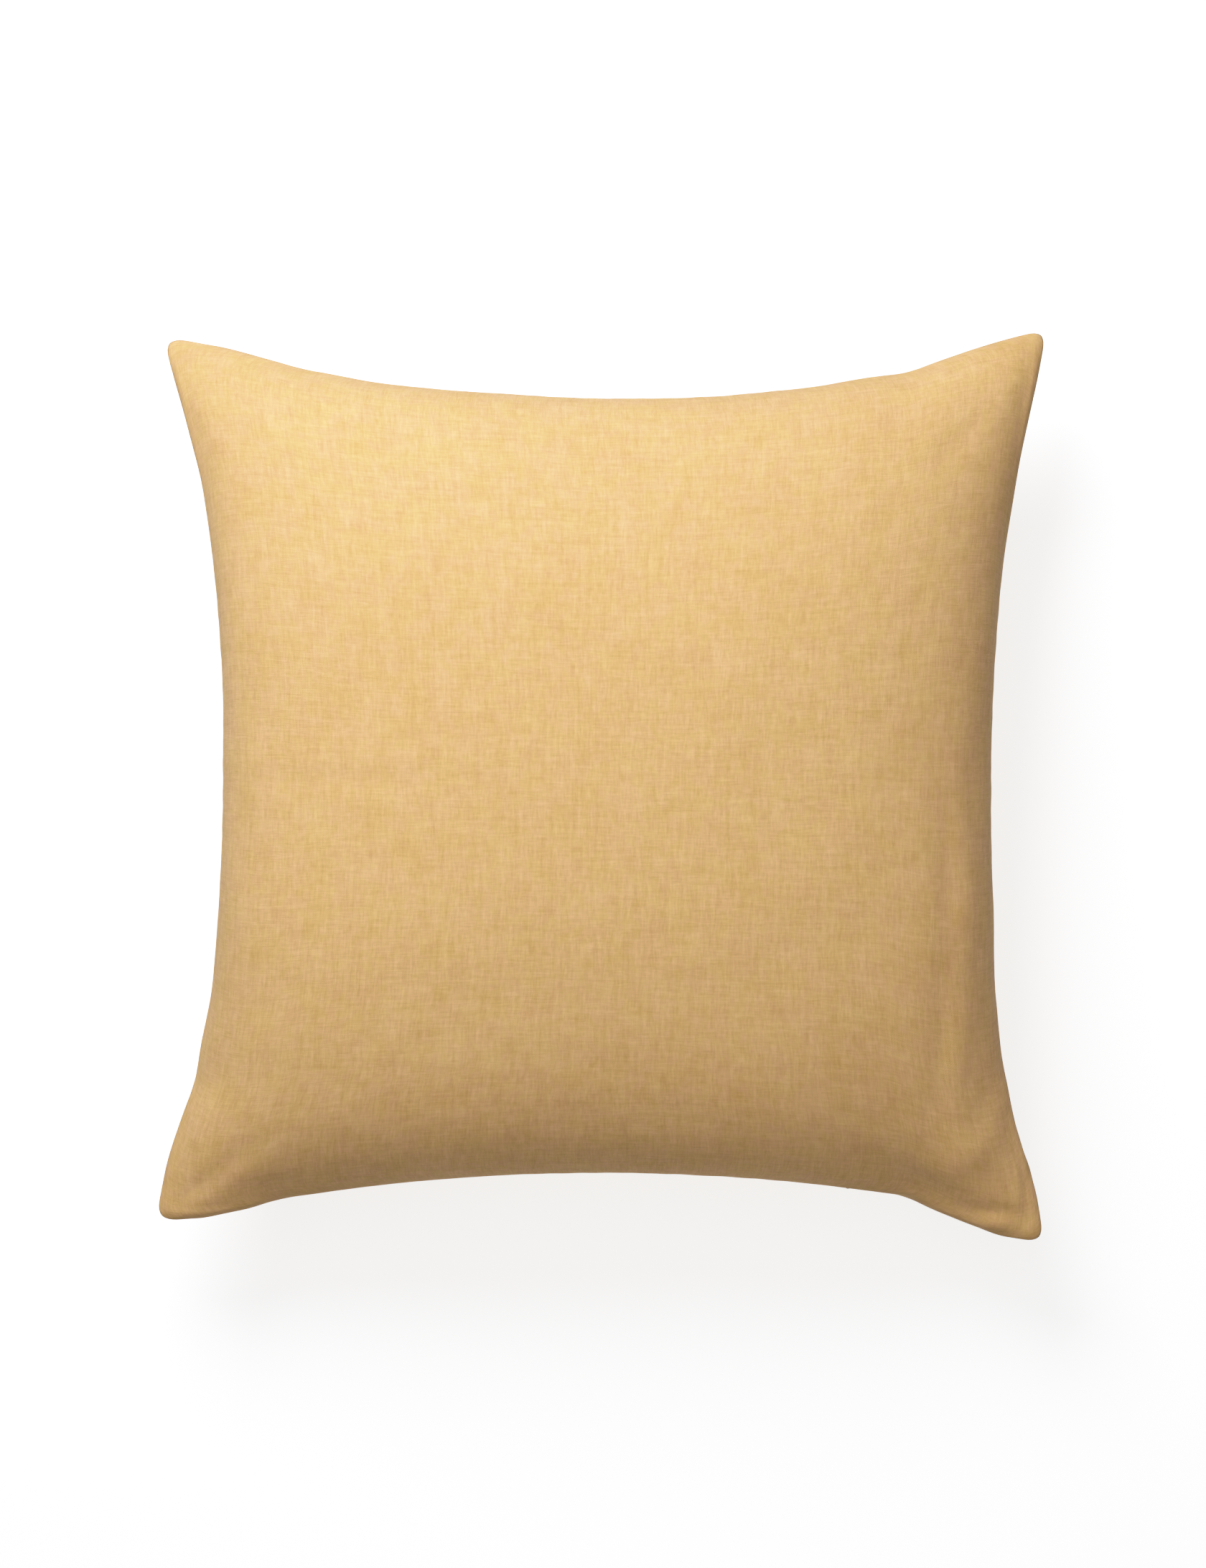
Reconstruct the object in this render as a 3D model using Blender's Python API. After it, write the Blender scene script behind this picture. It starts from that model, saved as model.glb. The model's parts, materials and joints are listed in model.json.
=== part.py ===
"""A stuffed square throw pillow: a removable linen cover with a concealed zip in its bottom seam,
over a separate cushion insert. It lies on its back on the surface, with +Z out of its front face
and +Y towards its top edge. Metres."""

import math

import bmesh
import bpy
from mathutils import Vector

# The seam, seen from the front. Each side is drawn in along an arc; each corner is a pinched ear.
WIDTH = 0.492
HEIGHT = 0.505
BOW_RADIUS = 1.050
DRAWN_IN = {"left": 0.0354, "right": 0.0290, "top": 0.0375, "bottom": 0.0380}
CORNER_SHIFT = {
    "bottom_left": Vector((-0.0020, 0.0100)),
    "bottom_right": Vector((0.0007, -0.0018)),
    "top_left": Vector((0.0020, -0.0028)),
    "top_right": Vector((0.0020, 0.0017)),
}
# How far out of its bow each side strays, as places counted from its low corner, its middle, and
# places counted from its high corner. The zip's stretch keeps to its bow.
STRAY = {
    "left": (
        ((0.0205, 0.0010), (0.0475, 0.0026), (0.1025, 0.0028), (0.1425, 0.0002)),
        -0.0002,
        ((0.1925, -0.0016), (0.1325, -0.0018), (0.0525, -0.0014)),
    ),
    "right": (
        ((0.0245, 0.0012), (0.0405, 0.0004), (0.0545, -0.0022), (0.0725, -0.0042), (0.1025, -0.0052),
         (0.1325, -0.0044), (0.1925, -0.0014)),
        -0.0008,
        ((0.1325, -0.0010), (0.0825, 0.0), (0.0275, 0.0008)),
    ),
    "top": (
        ((0.0160, 0.0012), (0.0410, 0.0028), (0.0860, 0.0036), (0.1260, 0.0018), (0.1860, 0.0014)),
        0.0,
        ((0.1860, -0.0006), (0.1360, 0.0002), (0.0960, 0.0018), (0.0710, 0.0008), (0.0460, 0.0003)),
    ),
    "bottom": (
        ((0.0140, 0.0020), (0.0260, 0.0036), (0.0480, 0.0030), (0.0680, 0.0003), (0.0800, 0.0)),
        0.0,
        ((0.0800, 0.0), (0.0610, 0.0010), (0.0410, 0.0014), (0.0260, 0.0025), (0.0120, 0.0010)),
    ),
}
CORNER_ROUND = 0.009
EAR_LENGTH = 0.078  # how far along each side its corner's ear reaches

# The loft: how far each face stands off the seam, and how the fabric lies.
SEAM_HEIGHT = 0.076
FRONT_LOFT = 0.084
BACK_LOFT = 0.0885  # more than the seam's height, so the back rests on a flat patch
PUFF = 2.5  # how square the section is: 2 is an ellipse
WALL_LINE = 0.9955  # a line of the mesh that keeps the fabric upright beside the seam
CELLS = 14  # the mesh's cells from edge to edge

# Layers, from the outside in.
FABRIC = 0.0008
CASING = 0.0005
GAP = 0.0003
SOFT_GAP = 0.0004
ALLOWANCE = 0.010  # the cover's seam allowance, turned in
INSERT_ROOM = ALLOWANCE + 0.003  # from the cover's seam to the insert's
CASING_ALLOWANCE = 0.006
FILLING_EDGE = 0.001
THREAD = 0.0005
OVERLOCK_BITE = 0.0035

# The zip, in the bottom seam. Depth is measured inwards from the seam, height from its plane.
SLIT_HALF = WIDTH / 2.0 - EAR_LENGTH - 0.008  # it stops short of the ears
SLIT_CLOSE = 0.003  # over this length its two folds close into the seam
SLIT_GAP = 0.0018
FOLD_MOUTH = 0.0042
FOLD_DEPTH = 0.0030
TAPE = 0.0006
TAPE_LOW = 0.0020
TAPE_HIGH = 0.0130
TAPE_HALF = SLIT_HALF + 0.006
BARTACK_AT = SLIT_HALF - 0.009
BARTACK_LENGTH = 0.0025
BARTACK_HIGH = 0.005
COIL_SIZE = 0.0022
COIL_HALF = BARTACK_AT - 0.006
COIL_SPREAD = 0.00075
STOP_LENGTH = 0.003
SLIDER_LENGTH = 0.011
SLIDER_AT = COIL_HALF - SLIDER_LENGTH / 2.0 - 0.0025
SLIDER_WIDTH = 0.0088
SLIDER_PLATE = 0.0010
SLIDER_FLANGE = 0.0006
SLIDER_ROUND = 0.0012
POST_LENGTH = 0.0030
POST_WIDTH = 0.0010
CROWN_RADIUS = 0.0017
CROWN_DEPTH = 0.0011
EYE_RADIUS = 0.00085
PULL_LENGTH = 0.019
PULL_WIDTH = 0.0032
PULL_THICK = 0.0011
PULL_ARM = 0.0009
PULL_PIN_RADIUS = 0.0005
PULL_ROUND = 0.0013

# Labels and hand stitching inside the cover.
CARE_LABEL_WIDTH = 0.040
CARE_LABEL_LENGTH = 0.029
CARE_LABEL_AT = -0.090
CARE_LABEL_LEAN = math.radians(17.0)  # it leans in as the cover's edge does
INSERT_LABEL_WIDTH = 0.030
INSERT_LABEL_LENGTH = 0.026
INSERT_LABEL_UP = 0.1925  # how far above the bottom corner its middle is
LABEL_THICK = 0.0003
CLOSING_HALF = 0.060

FRONT, BACK = 1, -1
EDGE = 0.9999  # a place this far across or up is on the seam
SHARP = math.radians(35.0)  # a fold sharper than this shows as an edge
SUNK = 0.98  # how wide a joined part is beside its neighbour, so that no two faces coincide
CUTTER_REACH = 0.002  # how far a cutter runs past what it cuts
ZIP_STEPS = 16  # the straight runs that make up the zip's arc


def clear_scene():
    for thing in list(bpy.data.objects):
        bpy.data.objects.remove(thing)


def material(name, colour, roughness, metallic=0.0):
    made = bpy.data.materials.new(name)
    made.use_nodes = True
    shader = made.node_tree.nodes["Principled BSDF"]
    shader.inputs["Base Color"].default_value = (*colour, 1.0)
    shader.inputs["Roughness"].default_value = roughness
    shader.inputs["Metallic"].default_value = metallic
    return made


def add_object(name, bm, surface):
    """Makes the bmesh an object of its own, its curves smooth and its edges sharp."""
    bmesh.ops.recalc_face_normals(bm, faces=bm.faces)
    if bm.calc_volume(signed=True) < 0.0:
        bmesh.ops.reverse_faces(bm, faces=bm.faces)
    mesh = bpy.data.meshes.new(name)
    bm.to_mesh(mesh)
    bm.free()
    mesh.materials.append(surface)
    mesh.shade_smooth()
    mesh.set_sharp_from_angle(angle=SHARP)
    thing = bpy.data.objects.new(name, mesh)
    bpy.context.collection.objects.link(thing)
    return thing


# The outline.


def corners(inset):
    """The four sharp corners of the outline, moved in by inset."""
    moved = {}
    for key, shift in CORNER_SHIFT.items():
        across = 1.0 if key.endswith("right") else -1.0
        up = 1.0 if key.startswith("top") else -1.0
        square = Vector((across * (WIDTH / 2.0 - inset), up * (HEIGHT / 2.0 - inset)))
        moved[key] = square + shift
    return moved


def waist(side):
    """How far out the middle of a side lies."""
    return (HEIGHT if side in ("top", "bottom") else WIDTH) / 2.0 - DRAWN_IN[side]


def bow(along, middle, inset):
    """How far out a bowed side lies, along being measured from its middle, which lies at middle."""
    return middle + BOW_RADIUS - math.sqrt((BOW_RADIUS + inset) ** 2 - along**2)


def ear(along, start, end):
    """How far into the ear a place on a side is, from 0 to 1: it sets off at once and eases out."""
    t = min(max((abs(along) - start) / (end - start), 0.0), 1.0)
    return t * (2.0 - t)


def stray(side, along, first, last):
    """How far out of its bow a side lies; nothing at its ends, first and last."""
    from_low, middle, from_high = STRAY[side]
    half = (HEIGHT if side in ("left", "right") else WIDTH) / 2.0
    knots = [(at - half, out) for at, out in from_low] + [(0.0, middle)]
    knots += [(half - at, out) for at, out in from_high]
    knots = [(first, 0.0), *[knot for knot in sorted(knots) if first < knot[0] < last], (last, 0.0)]
    for (low, out_low), (high, out_high) in zip(knots, knots[1:]):
        if along <= high:
            t = max((along - low) / (high - low), 0.0)
            return out_low + (out_high - out_low) * t * t * (3.0 - 2.0 * t)
    return 0.0


def side_reach(side, k, low, high, inset):
    """A place on one side: how far along it and how far out, for k from -1 to 1.

    low and high are its corners as (along, outwards) pairs."""
    rounding = max(CORNER_ROUND - inset, 0.2 * CORNER_ROUND)
    tip = rounding * (1.0 - math.sqrt(0.5))
    first, last = low[0] + tip, high[0] - tip
    along = first + (last - first) * (k + 1.0) / 2.0
    corner = high if along > 0.0 else low
    end = abs(corner[0])
    middle = waist(side)
    drawn = bow(along, middle, inset) + stray(side, along, first, last)
    drawn += (corner[1] - bow(end - tip, middle, inset)) * ear(along, end - EAR_LENGTH, end - tip)
    left = max(rounding - (end - abs(along)), 0.0)
    return along, drawn - (rounding - math.sqrt(rounding**2 - left**2))


def side_point(side, k, inset):
    """A place on the outline, before it is centred."""
    at = corners(inset)
    if side in ("top", "bottom"):
        ends = [at[f"{side}_left"], at[f"{side}_right"]]
        pairs = [(end.x, abs(end.y)) for end in ends]
        along, out = side_reach(side, k, *pairs, inset)
        return Vector((along, out if side == "top" else -out))
    ends = [at[f"bottom_{side}"], at[f"top_{side}"]]
    pairs = [(end.y, abs(end.x)) for end in ends]
    along, out = side_reach(side, k, *pairs, inset)
    return Vector((out if side == "right" else -out, along))


def mesh_lines(extra=()):
    """The mesh's lines from edge to edge, closer together near the seam."""
    base = [math.sin(math.pi * (i / CELLS - 0.5)) for i in range(CELLS + 1)]
    base[0], base[-1] = -1.0, 1.0
    return sorted([*base, -WALL_LINE, WALL_LINE, *extra])


def outline_centre():
    ring = [side_point(side, k, 0.0) for side in ("bottom", "right", "top", "left") for k in mesh_lines()]
    xs, ys = [p.x for p in ring], [p.y for p in ring]
    return Vector(((min(xs) + max(xs)) / 2.0, (min(ys) + max(ys)) / 2.0))


CENTRE = outline_centre()


def plan(a, b, inset):
    """A place inside the outline, blended from its four sides, for a across and b up from -1 to 1."""
    low, high = side_point("bottom", a, inset), side_point("top", a, inset)
    left, right = side_point("left", b, inset), side_point("right", b, inset)
    across, up = (a + 1.0) / 2.0, (b + 1.0) / 2.0
    flat = low.lerp(high, up) + left.lerp(right, across)
    ends = [side_point(side, k, inset) for side in ("bottom", "top") for k in (-1.0, 1.0)]
    return flat - ends[0].lerp(ends[1], across).lerp(ends[2].lerp(ends[3], across), up) - CENTRE


def at_edge(a, b):
    return max(abs(a), abs(b)) > EDGE


def swell(k):
    return max(1.0 - abs(k) ** PUFF, 0.0) ** (1.0 / PUFF)


def skin(face, inset, drop, rim):
    """One surface of one face: inset in plan, drop lower than the outside, rim off the seam's plane.

    rim is a height, or a function of the place that gives (inset, height)."""

    def at(a, b):
        if at_edge(a, b):
            depth, height = rim(a, b) if callable(rim) else (inset, rim)
            return Vector((*plan(a, b, depth), SEAM_HEIGHT + face * height))
        loft = FRONT_LOFT if face == FRONT else BACK_LOFT
        height = SEAM_HEIGHT + face * (loft - drop) * swell(a) * swell(b)
        return Vector((*plan(a, b, inset), max(height, drop)))

    return at


def closed_skin(name, lines_across, lines_up, outer, lips, inner, surface):
    """A closed shell: an outer surface, lips turned in from its edge, and an inner surface."""
    bm = bmesh.new()
    turn = bm.verts.layers.int.new("turn")
    cells = {"x_segments": len(lines_across) - 1, "y_segments": len(lines_up) - 1, "size": 1.0}
    places = [outer, *lips, inner]
    apart = 0.1  # keeps the layers from touching until each vertex has its place
    bmesh.ops.create_grid(bm, **cells)
    edge = [e for e in bm.edges if e.is_boundary]
    for number in range(1, len(places) - 1):
        made = bmesh.ops.extrude_edge_only(bm, edges=edge)["geom"]
        verts = [g for g in made if isinstance(g, bmesh.types.BMVert)]
        for v in verts:
            v[turn] = number
            v.co.z = number * apart
        edge = [g for g in made if isinstance(g, bmesh.types.BMEdge) and all(v[turn] == number for v in g.verts)]
    last = len(places) - 1
    for v in bmesh.ops.create_grid(bm, **cells)["verts"]:
        v[turn] = last
        v.co.z = last * apart
    loops = [e for e in bm.edges if e.is_boundary]
    bmesh.ops.bridge_loops(bm, edges=loops)
    for v in bm.verts:
        a = lines_across[round((v.co.x + 1.0) / 2.0 * (len(lines_across) - 1))]
        b = lines_up[round((v.co.y + 1.0) / 2.0 * (len(lines_up) - 1))]
        v.co = places[v[turn]](a, b)
    return add_object(name, bm, surface)


def sweep(name, stations, profile, surface):
    """A closed bar: a profile of (depth, height) corners, carried through the stations in turn."""
    bm = bmesh.new()
    corner = bm.verts.layers.int.new("corner")
    ring = bmesh.ops.create_circle(bm, segments=len(profile), radius=1.0)["verts"]
    for i, v in enumerate(ring):
        v[corner] = i
    edges = list(bm.edges)
    for number, station in enumerate(stations):
        if number:
            made = bmesh.ops.extrude_edge_only(bm, edges=edges)["geom"]
            ring = [g for g in made if isinstance(g, bmesh.types.BMVert)]
            new = set(ring)
            edges = [g for g in made if isinstance(g, bmesh.types.BMEdge) and set(g.verts) <= new]
        for v in ring:
            v.co = station(*profile[v[corner]])
    bmesh.ops.holes_fill(bm, edges=[e for e in bm.edges if e.is_boundary], sides=0)
    return add_object(name, bm, surface)


def box_profile(depth_from, depth_to, height_from, height_to):
    return [
        (depth_from, height_from),
        (depth_to, height_from),
        (depth_to, height_to),
        (depth_from, height_to),
    ]


def seam_station(side, k):
    """A place along a side of the seam, for a sweep."""
    return lambda depth, height: Vector((*plan_edge(side, k, depth), SEAM_HEIGHT + height))


def plan_edge(side, k, inset):
    return side_point(side, k, inset) - CENTRE


def side_k(side, along):
    """The k of the place that lies this far along a side from the pillow's middle."""
    first, last = side_point(side, -1.0, 0.0), side_point(side, 1.0, 0.0)
    axis = 0 if side in ("top", "bottom") else 1
    return 2.0 * (along - first[axis]) / (last[axis] - first[axis]) - 1.0


# The cover.

SLIT_LINE = side_k("bottom", SLIT_HALF)
SLIT_LINES = [side_k("bottom", s * x) for s in (-1, 1) for x in (SLIT_HALF, SLIT_HALF + SLIT_CLOSE)]


def cover_rim(open_depth, open_height, shut_depth, shut_height):
    """A rim that parts along the zip and shuts along the rest of the seam."""

    def at(a, b):
        along_zip = b < -EDGE and SLIT_LINES[0] - 1e-6 < a < SLIT_LINE + 1e-6
        return (open_depth, open_height) if along_zip else (shut_depth, shut_height)

    return at


def cover_panel(name, face, surface):
    half = GAP / 2.0
    fold = cover_rim(0.0, FOLD_MOUTH, 0.0, half)
    edge_out = cover_rim(FOLD_DEPTH, SLIT_GAP / 2.0, ALLOWANCE, half)
    edge_in = cover_rim(FOLD_DEPTH + GAP, SLIT_GAP / 2.0 + FABRIC, ALLOWANCE, half + FABRIC)
    back_of_fold = cover_rim(FABRIC, FOLD_MOUTH + FABRIC, FABRIC, half + FABRIC)
    return closed_skin(
        name,
        mesh_lines(SLIT_LINES),
        mesh_lines(),
        skin(face, 0.0, 0.0, fold),
        [skin(face, 0.0, 0.0, edge_out), skin(face, 0.0, 0.0, edge_in)],
        skin(face, FABRIC, FABRIC, back_of_fold),
        surface,
    )


def ring_stations(start, end):
    """Places right round the seam, from start to end along the bottom side, anticlockwise."""
    lines = mesh_lines()
    route = [("bottom", k) for k in [start, *[k for k in lines if k > start]]]
    route += [("right", k) for k in lines[1:]]
    route += [("top", k) for k in reversed(mesh_lines(SLIT_LINES)[:-1])]
    route += [("left", k) for k in reversed(lines[:-1])]
    route += [("bottom", k) for k in [*[k for k in lines[1:] if k < end], end]]
    return [seam_station(side, k) for side, k in route]


def channel_profile(lip_depth, lip_height):
    """Thread looped round two lips that reach lip_depth in and stand lip_height off the plane."""
    leg, back = lip_height + GAP, lip_depth + GAP
    low = lip_depth - OVERLOCK_BITE
    return [
        (low, leg),
        (back, leg),
        (back, -leg),
        (low, -leg),
        (low, -leg - THREAD),
        (back + THREAD, -leg - THREAD),
        (back + THREAD, leg + THREAD),
        (low, leg + THREAD),
    ]


def cover_overlock(surface):
    reach = SLIT_HALF + SLIT_CLOSE
    stations = ring_stations(side_k("bottom", reach), side_k("bottom", -reach))
    profile = channel_profile(ALLOWANCE, GAP / 2.0 + FABRIC)
    return sweep("cover_overlock_thread", stations, profile, surface)


# The zip. Its pieces lie on arcs about one centre, on which its slider turns.

ZIP_CENTRE = Vector((-CENTRE.x, -waist("bottom") - BOW_RADIUS - CENTRE.y, SEAM_HEIGHT))
TAPE_DEPTH = FOLD_DEPTH + GAP + SOFT_GAP
COIL_DEPTH = TAPE_DEPTH + TAPE + GAP
PLATE_DEPTH = COIL_DEPTH + COIL_SIZE + SOFT_GAP


def zip_station(length, spread=0.0):
    """A place along the zip, as a sweep takes it; spread moves it away from the seam's plane."""
    turn = length / BOW_RADIUS

    def at(depth, height):
        reach = BOW_RADIUS + depth
        lifted = height + math.copysign(spread, height)
        return ZIP_CENTRE + Vector((reach * math.sin(turn), reach * math.cos(turn), lifted))

    return at


def zip_stations(start, end, count):
    return [zip_station(start + (end - start) * i / count) for i in range(count + 1)]


def mirrored(profile, face):
    return [(depth, face * height) for depth, height in profile]


def zip_tape(name, face, surface):
    profile = box_profile(TAPE_DEPTH, TAPE_DEPTH + TAPE, TAPE_LOW, TAPE_HIGH)
    return sweep(name, zip_stations(-TAPE_HALF, TAPE_HALF, ZIP_STEPS), mirrored(profile, face), surface)


def zip_coil(name, face, surface):
    """One half of the closed coil, which parts round the slider and stays parted up to its stop."""
    low = GAP / 2.0
    profile = box_profile(COIL_DEPTH, COIL_DEPTH + COIL_SIZE, low, low + COIL_SIZE)
    parting = SLIDER_AT - SLIDER_LENGTH / 2.0
    shut = zip_stations(-COIL_HALF, parting, ZIP_STEPS)
    parted = [zip_station(x, COIL_SPREAD) for x in (SLIDER_AT - POST_LENGTH, COIL_HALF)]
    return sweep(name, shut + parted, mirrored(profile, face), surface)


def zip_block(name, start, length, deep, high_from, high_to, surface):
    profile = box_profile(COIL_DEPTH, COIL_DEPTH + deep, high_from, high_to)
    return sweep(name, zip_stations(start, start + length, 1), profile, surface)


def zip_ends(metal, thread):
    """The stops that keep the slider on the coil, and the bar tacks that hold the tapes together."""
    start = COIL_HALF + GAP
    low = GAP / 2.0 + COIL_SPREAD
    for name, face in (("zip_top_stop_front", FRONT), ("zip_top_stop_back", BACK)):
        zip_block(name, start, STOP_LENGTH, COIL_SIZE, face * low, face * (low + COIL_SIZE), metal)
    reach = GAP / 2.0 + COIL_SIZE
    zip_block("zip_bottom_stop", -start - STOP_LENGTH, STOP_LENGTH, COIL_SIZE, -reach, reach, metal)
    for name, at in (("zip_bartack_right", BARTACK_AT), ("zip_bartack_left", -BARTACK_AT - BARTACK_LENGTH)):
        zip_block(name, at, BARTACK_LENGTH, 2.0 * THREAD, -BARTACK_HIGH, BARTACK_HIGH, thread)


def block(bm, low, high):
    """A box between two corners, as part of bm. Returns its corners."""
    verts = bmesh.ops.create_cube(bm, size=1.0)["verts"]
    for v in verts:
        v.co = Vector([lo + (hi - lo) * (c + 0.5) for lo, hi, c in zip(low, high, v.co)])
    return verts


def round_corners(bm, verts, axis, radius, keep):
    """Rounds a block's edges that run along an axis, those where keep(edge's middle) is true."""
    edges = {e for v in verts for e in v.link_edges}
    chosen = []
    for e in edges:
        run = e.verts[1].co - e.verts[0].co
        middle = (e.verts[0].co + e.verts[1].co) / 2.0
        if abs(run[axis]) > 0.9 * run.length and keep(middle):
            chosen.append(e)
    bmesh.ops.bevel(bm, geom=chosen, offset=radius, segments=3, profile=0.5, affect="EDGES")


def tool(name, shape):
    """A helper shape for a Boolean, which is no piece of the pillow."""
    bm = bmesh.new()
    shape(bm)
    helper = add_object(name, bm, bpy.data.materials["metal"])
    helper.hide_render = True
    helper.display_type = "WIRE"
    return helper


def combine(thing, helper, operation):
    modifier = thing.modifiers.new(helper.name, "BOOLEAN")
    modifier.operation = operation
    modifier.object = helper
    helper.parent = thing


def disc(bm, radius, half_height, centre, segments=16):
    made = bmesh.ops.create_cone(
        bm,
        cap_ends=True,
        segments=segments,
        radius1=radius,
        radius2=radius,
        depth=2.0 * half_height,
    )
    bmesh.ops.translate(bm, verts=made["verts"], vec=centre)


def zip_slider(surface):
    """The slider. Its origin is the zip's centre of turning, and its plate is tangent to the seam."""
    half = SLIDER_LENGTH / 2.0
    wide = SLIDER_WIDTH / 2.0
    plate = BOW_RADIUS + PLATE_DEPTH
    crown = BOW_RADIUS + CROWN_DEPTH
    bm = bmesh.new()
    verts = block(bm, (-half, plate, -wide), (half, plate + SLIDER_PLATE, wide))
    round_corners(bm, verts, 1, SLIDER_ROUND, lambda middle: True)
    slider = add_object("zip_slider_body", bm, surface)
    slider.location = ZIP_CENTRE
    slider.rotation_euler.z = -SLIDER_AT / BOW_RADIUS
    inside = plate + SLIDER_PLATE / 2.0
    top = BOW_RADIUS + COIL_DEPTH + SOFT_GAP
    flat = half - SLIDER_ROUND
    for word, face in (("front", FRONT), ("back", BACK)):
        edge = sorted((face * wide * SUNK, face * (wide - SLIDER_FLANGE)))
        low, high = (-flat, top, edge[0]), (flat, inside, edge[1])
        combine(slider, tool(f"slider_flange_{word}", lambda b: block(b, low, high)), "UNION")
    post, thick = POST_LENGTH / 2.0, POST_WIDTH / 2.0
    neck = crown + EYE_RADIUS + POST_WIDTH / 4.0
    post_box = ((-post, neck, -thick * SUNK), (post, inside, thick * SUNK))
    combine(slider, tool("slider_post", lambda b: block(b, *post_box)), "UNION")
    at = (0.0, crown, 0.0)
    combine(slider, tool("slider_crown", lambda b: disc(b, CROWN_RADIUS, thick, at)), "UNION")
    combine(slider, tool("slider_eye", lambda b: disc(b, EYE_RADIUS, CUTTER_REACH, at)), "DIFFERENCE")
    return slider


def zip_pull(slider, surface):
    """The pull tab. Its pin lies in the crown's eye, and the tab lies back along the zip's groove."""
    wide, thick = PULL_WIDTH / 2.0, PULL_THICK / 2.0
    start = CROWN_RADIUS + 2.0 * GAP
    arm = PULL_ARM / 2.0
    eye_side = POST_WIDTH / 2.0 + SOFT_GAP
    bm = bmesh.new()
    verts = block(bm, (-PULL_LENGTH, -thick, -wide), (-start, thick, wide))
    round_corners(bm, verts, 1, PULL_ROUND, lambda middle: middle.x < -PULL_LENGTH / 2.0)
    pull = add_object("zip_pull_tab", bm, surface)
    pull.parent = slider
    pull.location = (0.0, BOW_RADIUS + CROWN_DEPTH, 0.0)
    for word, face in (("front", FRONT), ("back", BACK)):
        edge = sorted((face * eye_side, face * wide * SUNK))
        low, high = (-start - thick, -arm, edge[0]), (0.0, arm, edge[1])
        combine(pull, tool(f"pull_arm_{word}", lambda b: block(b, low, high)), "UNION")
    pin = tool("pull_pin", lambda b: disc(b, PULL_PIN_RADIUS, wide * SUNK * SUNK, (0.0, 0.0, 0.0), 12))
    combine(pull, pin, "UNION")
    return pull


# The insert.


def insert_panel(name, face, surface):
    half = GAP / 2.0
    inset, drop = INSERT_ROOM, FABRIC + SOFT_GAP
    tip = inset + CASING_ALLOWANCE
    return closed_skin(
        name,
        mesh_lines(SLIT_LINES),
        mesh_lines(),
        skin(face, inset, drop, half),
        [skin(face, tip, drop, half), skin(face, tip, drop, half + CASING)],
        skin(face, inset + CASING, drop + CASING, half + CASING),
        surface,
    )


def insert_filling(surface):
    inset = INSERT_ROOM + CASING_ALLOWANCE + 2.0 * GAP + 2.0 * THREAD
    drop = FABRIC + CASING + 2.0 * SOFT_GAP
    upper = skin(FRONT, inset, drop, FILLING_EDGE)
    lower = skin(BACK, inset, drop, FILLING_EDGE)
    lines = (mesh_lines(SLIT_LINES), mesh_lines())
    return closed_skin("insert_filling", *lines, upper, [], lower, surface)


def insert_overlock(surface):
    """The insert's overlock thread, which stops on each side of the gap that it was filled through."""
    inset = INSERT_ROOM
    across, up = mesh_lines(SLIT_LINES), mesh_lines()
    gap = side_k("top", CLOSING_HALF)
    route = [("top", k) for k in [-gap, *[k for k in reversed(across) if k < -gap]]]
    route += [("left", k) for k in reversed(up[:-1])]
    route += [("bottom", k) for k in across[1:]]
    route += [("right", k) for k in up[1:]]
    route += [("top", k) for k in [*[k for k in reversed(across[:-1]) if k > gap], gap]]
    stations = [seam_station(side, k) for side, k in route]
    profile = channel_profile(inset + CASING_ALLOWANCE, GAP / 2.0 + CASING)
    return sweep("insert_overlock_thread", stations, profile, surface)


def insert_closing_stitch(surface):
    """The slip stitch that closes the gap the insert was filled through."""
    depth = INSERT_ROOM - GAP
    profile = box_profile(depth - THREAD, depth, -2.0 * THREAD, 2.0 * THREAD)
    lines = [k for k in mesh_lines() if abs(k) < side_k("top", CLOSING_HALF)]
    ends = [side_k("top", s * CLOSING_HALF) for s in (-1, 1)]
    stations = [seam_station("top", k) for k in [ends[0], *lines, ends[1]]]
    return sweep("insert_closing_stitch", stations, profile, surface)


# The labels.


def label(name, side, at, width, root, tip, surface):
    """A blank label, stitched in at root and hanging to tip, both (depth, height)."""
    thick = LABEL_THICK
    profile = [root, (root[0] + thick, root[1]), (tip[0] + thick, tip[1]), tip]
    ends = (at - width / 2.0, at + width / 2.0)
    stations = [seam_station(side, side_k(side, along)) for along in ends]
    return sweep(name, stations, profile, surface)


def labels(surface):
    lip = GAP / 2.0 + FABRIC
    root = (FABRIC + 4.0 * SOFT_GAP, -lip - GAP)
    lean_in, hang = math.sin(CARE_LABEL_LEAN), math.cos(CARE_LABEL_LEAN)
    tip = (root[0] + CARE_LABEL_LENGTH * lean_in, root[1] - CARE_LABEL_LENGTH * hang)
    label("care_label", "left", CARE_LABEL_AT, CARE_LABEL_WIDTH, root, tip, surface)
    depth = INSERT_ROOM - GAP - LABEL_THICK
    root, tip = (depth, 2.0 * THREAD), (depth, 2.0 * THREAD + INSERT_LABEL_LENGTH)
    at = INSERT_LABEL_UP - HEIGHT / 2.0
    label("insert_label", "right", at, INSERT_LABEL_WIDTH, root, tip, surface)


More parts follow.
